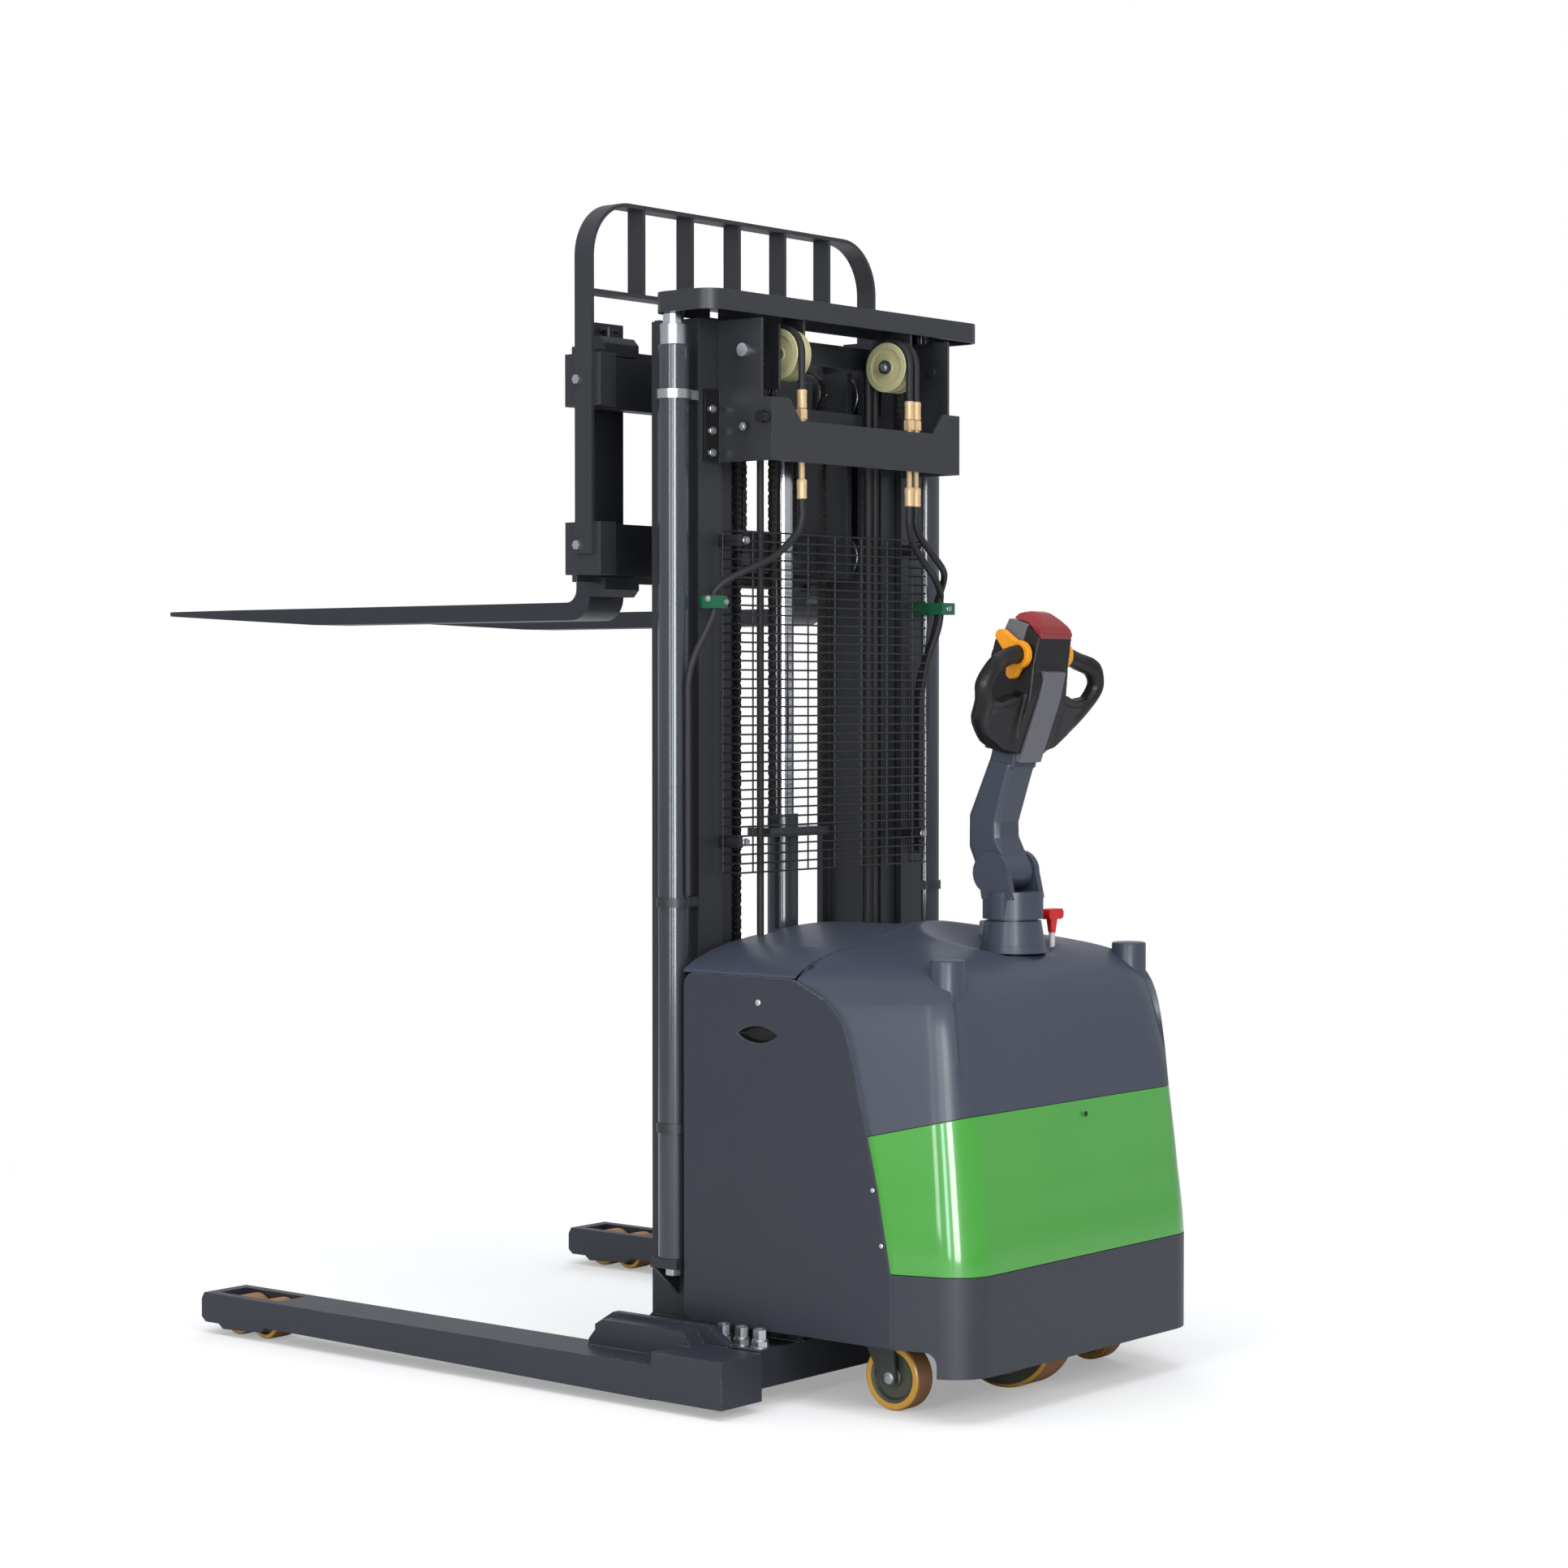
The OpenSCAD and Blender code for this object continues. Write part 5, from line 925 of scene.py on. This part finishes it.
def deepened(shape):
    """The leg's lower face, which falls a little towards both ends."""
    for v in shape.verts:
        along = (v.co.x - mast_plane) * 1000
        lowest = v.co.z < 0.045 and along > (-150 if abs(v.co.y) < 0.5 else -400)
        if lowest and all(from_axis(v.co, x, axle_z) > 0.011 for x in load_axles):
            v.co.z -= 0.008 * eased((along - leg_tip + 240) / 200) + 0.012 * (1 - eased((along - 50) / 800))


for hand, side in (("left", 1), ("right", -1)):
    dressed("straddle_leg_" + hand, "leg_tube_" + hand, "leg_" + hand, [leg_paint, roller_steel], "mast_charcoal",
            2, pick=lambda at: any(from_axis(at, x, axle_z) < 0.0102 for x in load_axles), formed=deepened)
    welded("leg_welds_" + hand, "leg_" + hand, leg_paint, "mast_charcoal", [
        (-106, 502.5, 84.5, 118, 502.5, 84.5), (-139, 541.5, 109.3, -109, 541.5, 109.3),
        (-107, 541.5, 84.6, 117, 541.5, 84.6), (-107.6, 545, 85, -107.6, 614, 85)], (side,))

# Wheels. Cast polyurethane tyres, honey yellow at the sides and scuffed brown on the tread,
# bonded to turned hubs with a bearing and its seal in the middle.
tyre_side = coated("tyre_side", (232, 176, 66), 0.3, size=300, mottle=0.07, coat=0.2)
tyre_tread = coated("tyre_tread", (158, 112, 70), 0.52, size=220, mottle=0.2, peel=0.3)
hub_iron = coated("hub_iron", (92, 96, 84), 0.42, metal=0.4, size=300, mottle=0.12)
seal_steel = coated("seal_steel", (168, 170, 172), 0.3, metal=0.8, mottle=0.1)
yoke_paint = coated("yoke_paint", (74, 77, 70), 0.4, metal=0.3, size=300, bare=(150, 150, 146))
caster_x, caster_y, caster_z, drive_z = -456, 318, 62.5, 125


def doubled(profile):
    """A profile's lower half and its mirror image above the middle."""
    return profile + [(r, -z) for r, z in profile[::-1]]


def laid_across(shape, at):
    """A shape turned from upright to lie across the truck at a place."""
    bmesh.ops.rotate(shape, cent=(0, 0, 0), matrix=Matrix.Rotation(-pi / 2, 3, "X"), verts=shape.verts)
    bmesh.ops.translate(shape, vec=at, verts=shape.verts)
    return shape


def wheel(name, body, at, radius, width, hub, bore):
    """A tyre, its hub and its bearing, turned about Y at a place, in millimetres."""
    h, low = hub - 0.5, -width / 2
    tyre = doubled([(hub, low + 1), (radius * 0.93, low), (radius * 0.972, low + 2.2), (radius * 0.992, low + 5),
                    (radius, low * 0.62)])
    dish = (h - bore) * 0.3
    core = doubled([(bore, low + 2), (bore + 8, low + 2), (bore + 8.5, low + 3), (bore + 11, low + 4),
                    (bore + dish, low + 9), (h - dish * 0.7, low + 9), (h - dish * 0.4, low + 3), (h, low + 1.6)])
    whole = added(turned(tyre, 64), turned(core, 48))
    for face in whole.faces:
        far = face.calc_center_median().xy.length * 1000
        if far > hub - 0.2:
            face.material_index = int(far > radius * 0.975)
        else:
            face.material_index = 3 if far < bore + 8.3 else 2
    stand_in(meshed(laid_across(whole, at), name, 40), name, body, [tyre_side, tyre_tread, hub_iron, seal_steel],
             "wheel_polyurethane", body)


for hand, side in (("left", 1), ("right", -1)):
    for end, x in zip(("front", "rear"), load_axles):
        wheel(f"load_roller_{hand}_{end}", f"load_wheel_{hand}_{end}", rel(x, side * 560, axle_z), 40, 64, 31, 10.05)
    at = rel(caster_x, side * caster_y, caster_z)
    wheel(f"caster_roll_{hand}", f"caster_wheel_{hand}", at, 62.5, 48, 48.5, 7.05)


def drive_part(at):
    far = from_axis(at, tiller_x, drive_z)
    return int(far > 0.1225) if far > 0.0965 else 2


dressed("drive_wheel", "drive_roll", "drive_wheel", [tyre_side, tyre_tread, hub_iron], "wheel_polyurethane", 1.5,
        pick=drive_part)
for hand, side in (("left", 1), ("right", -1)):
    dressed("caster_fork_" + hand, "caster_yoke_" + hand, "caster_" + hand, yoke_paint, "zinc_steel")
    nuts = [(rel(caster_x, side * caster_y + off, caster_z), way) for off, way in ((33, left), (-33, -left))]
    fastened("caster_nuts_" + hand, nuts, hex_screw(18, 3), "caster_" + hand)

# Tiller. A painted arm on a swivelling base; the head is a smooth black moulding with two
# looped grips, a grey cover, orange paddles and the red cap that reverses the truck.
head_black = coated("head_black", (17, 16, 19), 0.42, size=1400, peel=0.22)
head_grey = coated("head_grey", (106, 106, 113), 0.45, size=1400, peel=0.2)
cap_red = coated("cap_red", (142, 26, 30), 0.32, coat=0.3, size=900)
paddle_orange = coated("paddle_orange", (255, 166, 10), 0.32, coat=0.25, size=900)
key_grey = coated("key_grey", (176, 178, 182), 0.4, size=900)
head_x, head_z, head_cos, head_sin = -480, 1197, cos(radians(15)), sin(radians(15))


def moulded(node, name, body, finish, slot, voxel, rounds, formed):
    """Stands a soft-edged copy in for a CAD node, as it would come out of a mould."""
    shape = merged(node)
    formed(shape)
    mesh = baked(meshed(shape, node, None),
                 ("REMESH", {"mode": "VOXEL", "voxel_size": voxel / 1000, "use_smooth_shade": True}),
                 ("SMOOTH", {"factor": 0.5, "iterations": rounds}))
    stand_in(mesh, name, body, finish, slot, node)


def in_head(x, y, along):
    """A place measured along the leaning head."""
    return rel(head_x + x * head_cos - along * head_sin, y, head_z + x * head_sin + along * head_cos)


def from_head(at):
    """How far a place is ahead of the head's middle line, and how far up along it."""
    dx, dz = at.x - rel(head_x, 0, 0).x, at.z - head_z / 1000
    return dx * head_cos + dz * head_sin, dz * head_cos - dx * head_sin


def shift(v, ahead, along):
    """Moves a point in the head's own directions."""
    v.co.x += ahead * head_cos - along * head_sin
    v.co.z += ahead * head_sin + along * head_cos


def widened(shape):
    """The arm, filled out behind its bend and wider towards the head."""
    for v in shape.verts:
        height = v.co.z
        v.co.y *= 1 + 0.12 * eased((height - 1.03) / 0.04) + 0.18 * eased((height - 1.09) / 0.09)
        if v.co.x < rel(-440 - max(0, height - 1.09) * 380, 0, 0).x:
            v.co.x -= 0.019 * eased((height - 1.0) / 0.06) * (1 - 0.5 * eased((height - 1.12) / 0.08))


def faired(shape):
    """Draws the lower head up a little, and fillets the web between each grip and the housing."""
    for v in shape.verts:
        ahead, along = from_head(v.co)
        in_seat = abs(v.co.y) < 0.034 and ahead < -0.029 and along < 0.173
        shift(v, 0, 0.017 if in_seat else 0.017 * min(1, max(0, (0.17 - along) / 0.07)))
    outline = [(30, 24), (80, 34), (118, 56), (146, 92), (160, 118), (120, 112), (84, 120), (60, 142), (30, 152)]
    for side in (1, -1):
        rings = [[shape.verts.new(in_head(x, side * y, along)) for y, along in outline] for x in (-42, -18)]
        faces = banded(shape, rings) + [shape.faces.new(rings[0]), shape.faces.new(rings[1][::-1])]
        bmesh.ops.recalc_face_normals(shape, faces=faces)
    for v in shape.verts:
        ahead, along = from_head(v.co)
        out = abs(v.co.y)
        low = eased((0.14 - along) / 0.065) * eased((out - 0.05) / 0.06)
        root = eased((along - 0.14) / 0.03) * (1 - eased((out - 0.12) / 0.06)) if out > 0.055 else 0
        back_top = 0 if out > 0.055 else eased((along - 0.17) / 0.09) * min(1, max(0, -ahead / 0.04))
        v.co.y += copysign(0.014 * low, v.co.y)
        shift(v, 0.015 * low + 0.013 * root + 0.02 * back_top, -0.008 * root)


def moved_ahead(shape):
    """The paddles sit round the grips' roots."""
    bmesh.ops.translate(shape, vec=(0.0146, 0, -0.0044), verts=shape.verts)


def pulled_in(shape):
    """The cap's back, as far forward as the housing's."""
    for v in shape.verts:
        v.co.x += 0.02 * min(1, max(0, -from_head(v.co)[0] / 0.04))


def slid_up(shape):
    """The cover behind sits as high as the housing's seat."""
    for v in shape.verts:
        if from_head(v.co)[0] < -0.029:
            shift(v, 0, 0.017)


dressed("tiller_base", "swivel_base", "steering", cover_paint, "body_grey", 1.5, bend=24)
collar = upright([(60.5, 831), (64.5, 831), (65, 832), (62.2, 845.8), (60.5, 845.8)], tiller_x, 0)
stand_in(meshed(collar, "collar"), "base_collar", "steering", cover_paint, "body_grey")
moulded("tiller_arm", "painted_arm", "tiller", cover_paint, "body_grey", 2, 8, widened)
moulded("tiller_head", "head_moulding", "tiller", head_black, "black_plastic", 1.9, 9, faired)
dressed("tiller_cover", "head_cover", "tiller", head_grey, "grey_plastic", 1.4, segments=3, bend=24, formed=slid_up)
moulded("throttle_paddles", "paddles", "throttle", paddle_orange, "orange_plastic", 1.2, 5, moved_ahead)
moulded("belly_button", "reversing_cap", "belly_button", cap_red, "red_plastic", 1.4, 12, pulled_in)
for node, paint, slot in (("raise_button", key_grey, "grey_plastic"), ("lower_button", key_grey, "grey_plastic"),
                          ("horn_button", head_black, "black_plastic")):
    dressed(node, node + "_cap", node, paint, slot, 1.5)

# Emergency knob and key switch. A pure red T knob on a pale stem, which cuts the power when
# pulled, and a plated key in its lock.
knob_red = coated("knob_red", (226, 18, 22), 0.28, coat=0.4, size=700)
stem_pale = coated("stem_pale", (226, 226, 224), 0.35, size=700)
dressed("emergency_knob", "pull_knob", "emergency_knob", [knob_red, stem_pale], "knob_red", 2.2, segments=3,
        pick=lambda at: at.z < 0.8645)
dressed("ignition_key", "lock_key", "ignition_key", zinc, "zinc_steel", 0.6)

# Telescoping mast nest. Rolled channels run inside one another on steel rollers; the middle
# one carries the top plate, whose hose pulleys are cream nylon and chain pulleys turned steel.
inner_paint = coated("inner_paint", (47, 49, 55), 0.36, bare=(128, 128, 130), streak=8.0)
nylon = coated("nylon", (203, 198, 152), 0.38, size=500, mottle=0.06)
steel = coated("machined_steel", (120, 122, 126), 0.3, metal=0.85, size=300, mottle=0.1, peel=0.05)
pulley_x, pulley_z, pulley_ys = -66, 1982, (176, -168)


def rollers(*centres):
    """Picks the faces of rollers, each given by the x and z of its axis and the span of its y."""
    return lambda at: any(from_axis(at, x, z) < roller_reach and low < abs(at.y) < high
                          for x, z, low, high in centres)


dressed("middle_mast", "middle_rails", "mast_middle", [inner_paint, roller_steel], "mast_charcoal", 2,
        pick=rollers((60, 178, 0.278, 0.33), (92, 1990, 0.2, 0.262)))
dressed("top_plate", "head_plate", "mast_middle", mast_paint, "mast_charcoal", 2.5, segments=3, bend=24)
dressed("inner_mast", "inner_rails", "mast_inner", [inner_paint, roller_steel], "mast_charcoal", 2,
        pick=rollers((76, 180, 0.245, 0.29)))
sheave = doubled([(8.1, -20), (15, -20), (16, -18.5), (36, -18.5), (38, -22), (48.8, -22), (50, -20.8), (49.8, -19.5),
                  (45.5, -17.2), (44, -13), (44, -9), (45.5, -4.8), (49.8, -2.5)])
sheave = meshed(turned(sheave, 64), "sheave", 30)
fastened("nylon_pulleys", [(rel(pulley_x, y, pulley_z), left) for y in pulley_ys], sheave, "hose_pulleys", nylon,
         "pulley_nylon", ("hose_pulleys",))
pins = [(rel(pulley_x, y + 27, pulley_z), left) for y in pulley_ys]
fastened("pulley_screws", pins, hex_screw(14, 6), "mast_middle")
hanger = bmesh.new()
block(hanger, (-82, 207, 1913), (-20, 212, 2039))
hanger = baked(meshed(hanger, "hanger"), ("BEVEL", {"width": 0.001, "segments": 2}))
stand_in(hanger, "pulley_hanger", "mast_middle", mast_paint, "mast_charcoal")
dressed("chain_pulleys", "steel_sheaves", "chain_pulleys", steel, "machined_steel", 0.8)
dressed("chain_wheels", "crosshead_sheaves", "chain_wheels", steel, "machined_steel", 0.8)
dressed("free_lift_cylinder", "free_barrel", "mast_inner", barrel_paint, "mast_charcoal")
dressed("free_lift_rod", "free_rod", "crosshead", [chrome, inner_paint], "chrome_rod", 1,
        pick=lambda at: at.z > 1.885)

# Leaf chains. Oiled steel plates on pins, four plates and three in turn, run over the
# sheaves; each strand is anchored at both ends.
chain_steel = coated("chain_steel", (74, 73, 72), 0.34, metal=0.8, size=350, mottle=0.22, peel=0.05)
pitch, plate_high, plate_thick = 0.0127, 0.0058, 0.0017


def leaf(across):
    """Link plates at the given offsets, with the pin that joins them to the next."""
    turns = [radians(a) for a in range(-90, 91, 36)]
    end = [(pitch / 2 + plate_high * cos(a), plate_high * sin(a)) for a in turns]
    outline = end + [(0, plate_high * 0.8)] + [(-x, z) for x, z in end[::-1]] + [(0, -plate_high * 0.8)]
    link = bmesh.new()
    for y in across:
        sides = [[link.verts.new((x, y + s * plate_thick / 2, z)) for x, z in outline] for s in (-1, 1)]
        link.faces.new(sides[0])
        link.faces.new(sides[1][::-1])
        banded(link, sides)
    pin = laid_across(turned(doubled([(0, -7.9), (2.1, -7.9), (2.5, -7.5)]), 8), (pitch / 2, 0, 0))
    bmesh.ops.recalc_face_normals(link, faces=link.faces)
    return meshed(added(link, pin), "leaf", 30)


def over_wheel(x, y, z, radius, low, first, steps=16):
    """A quarter turn over a wheel, in front of its top or behind, with the strand below it."""
    arc = [rel(x - radius * cos(a), y, z + radius * sin(a))
           for a in (radians(first + 90 * k / steps) for k in range(steps + 1))]
    return arc + [rel(x + radius, y, low)] if first else [rel(x - radius, y, low)] + arc


def strands(name, x, ys, z, radius, lows, bodies, offset, made, finish, slot, node):
    """Chains or hoses over a wheel, in two halves that are not attached to the bodies they join."""
    for end, first, low, pair, stands_for in (("_rear", 0, lows[0], bodies[:2], (node,)),
                                              ("_front", 90, lows[1], bodies[1:], ())):
        mesh = made([over_wheel(x, y, z, radius, low, first) for y in ys])
        piece = stand_in(mesh, name + end, None, finish, slot, *stands_for)
        top, foot = (rel(x + (offset if first else -offset), 0, height) for height in (z, low))
        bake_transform(piece)


def chained(runs):
    return strung("chain", runs, leaf_four, leaf_three, pitch, chain_steel)


leaf_four, leaf_three = leaf((-0.0058, -0.002, 0.002, 0.0058)), leaf((-0.0039, 0, 0.0039))
strands("stage_chain", -11, (215, -215), pulley_z, 33, (1816, 174), ("chassis", "mast_middle", "mast_inner"), 0,
        chained, chain_steel, "chain_steel", "mast_chains")
strands("lift_chain", 82, (80, -80), 1932, 38, (1058, 1606), ("mast_inner", "crosshead", "carriage"), 0,
        chained, chain_steel, "chain_steel", "lift_chains")

# Mast hoses. From the couplings they run over the cream pulleys and down behind the
# inner rails.
strands("mast_hose", pulley_x, hose_ys, pulley_z, 52, (1912, 300), ("chassis", "mast_middle", "mast_inner"), 52,
        lambda runs: drawn("hose", runs, hose_radius, 14, hose_rubber), hose_rubber, "hose_rubber", "mast_hoses")

# Carriage, load backrest and forks. Flame-cut bars and plates on four rollers; the forks are
# forged, and their paint is rubbed through along the edges.
dressed("fork_carriage", "carriage_plates", "carriage", mast_paint, "mast_charcoal", 2)
dressed("carriage_rollers", "carriage_rolls", "carriage", roller_steel, "machined_steel", 1)
dressed("load_backrest", "backrest_bars", "carriage", [mast_paint, zinc], "mast_charcoal",
        pick=lambda at: abs(at.y) > 0.4482)
fork_paint = coated("fork_paint", (46, 49, 56), 0.36, bare=(138, 138, 140), mottle=0.14)
for hand in ("left", "right"):
    dressed("fork_" + hand, "forged_fork_" + hand, "fork_" + hand, fork_paint, "mast_charcoal", 2)
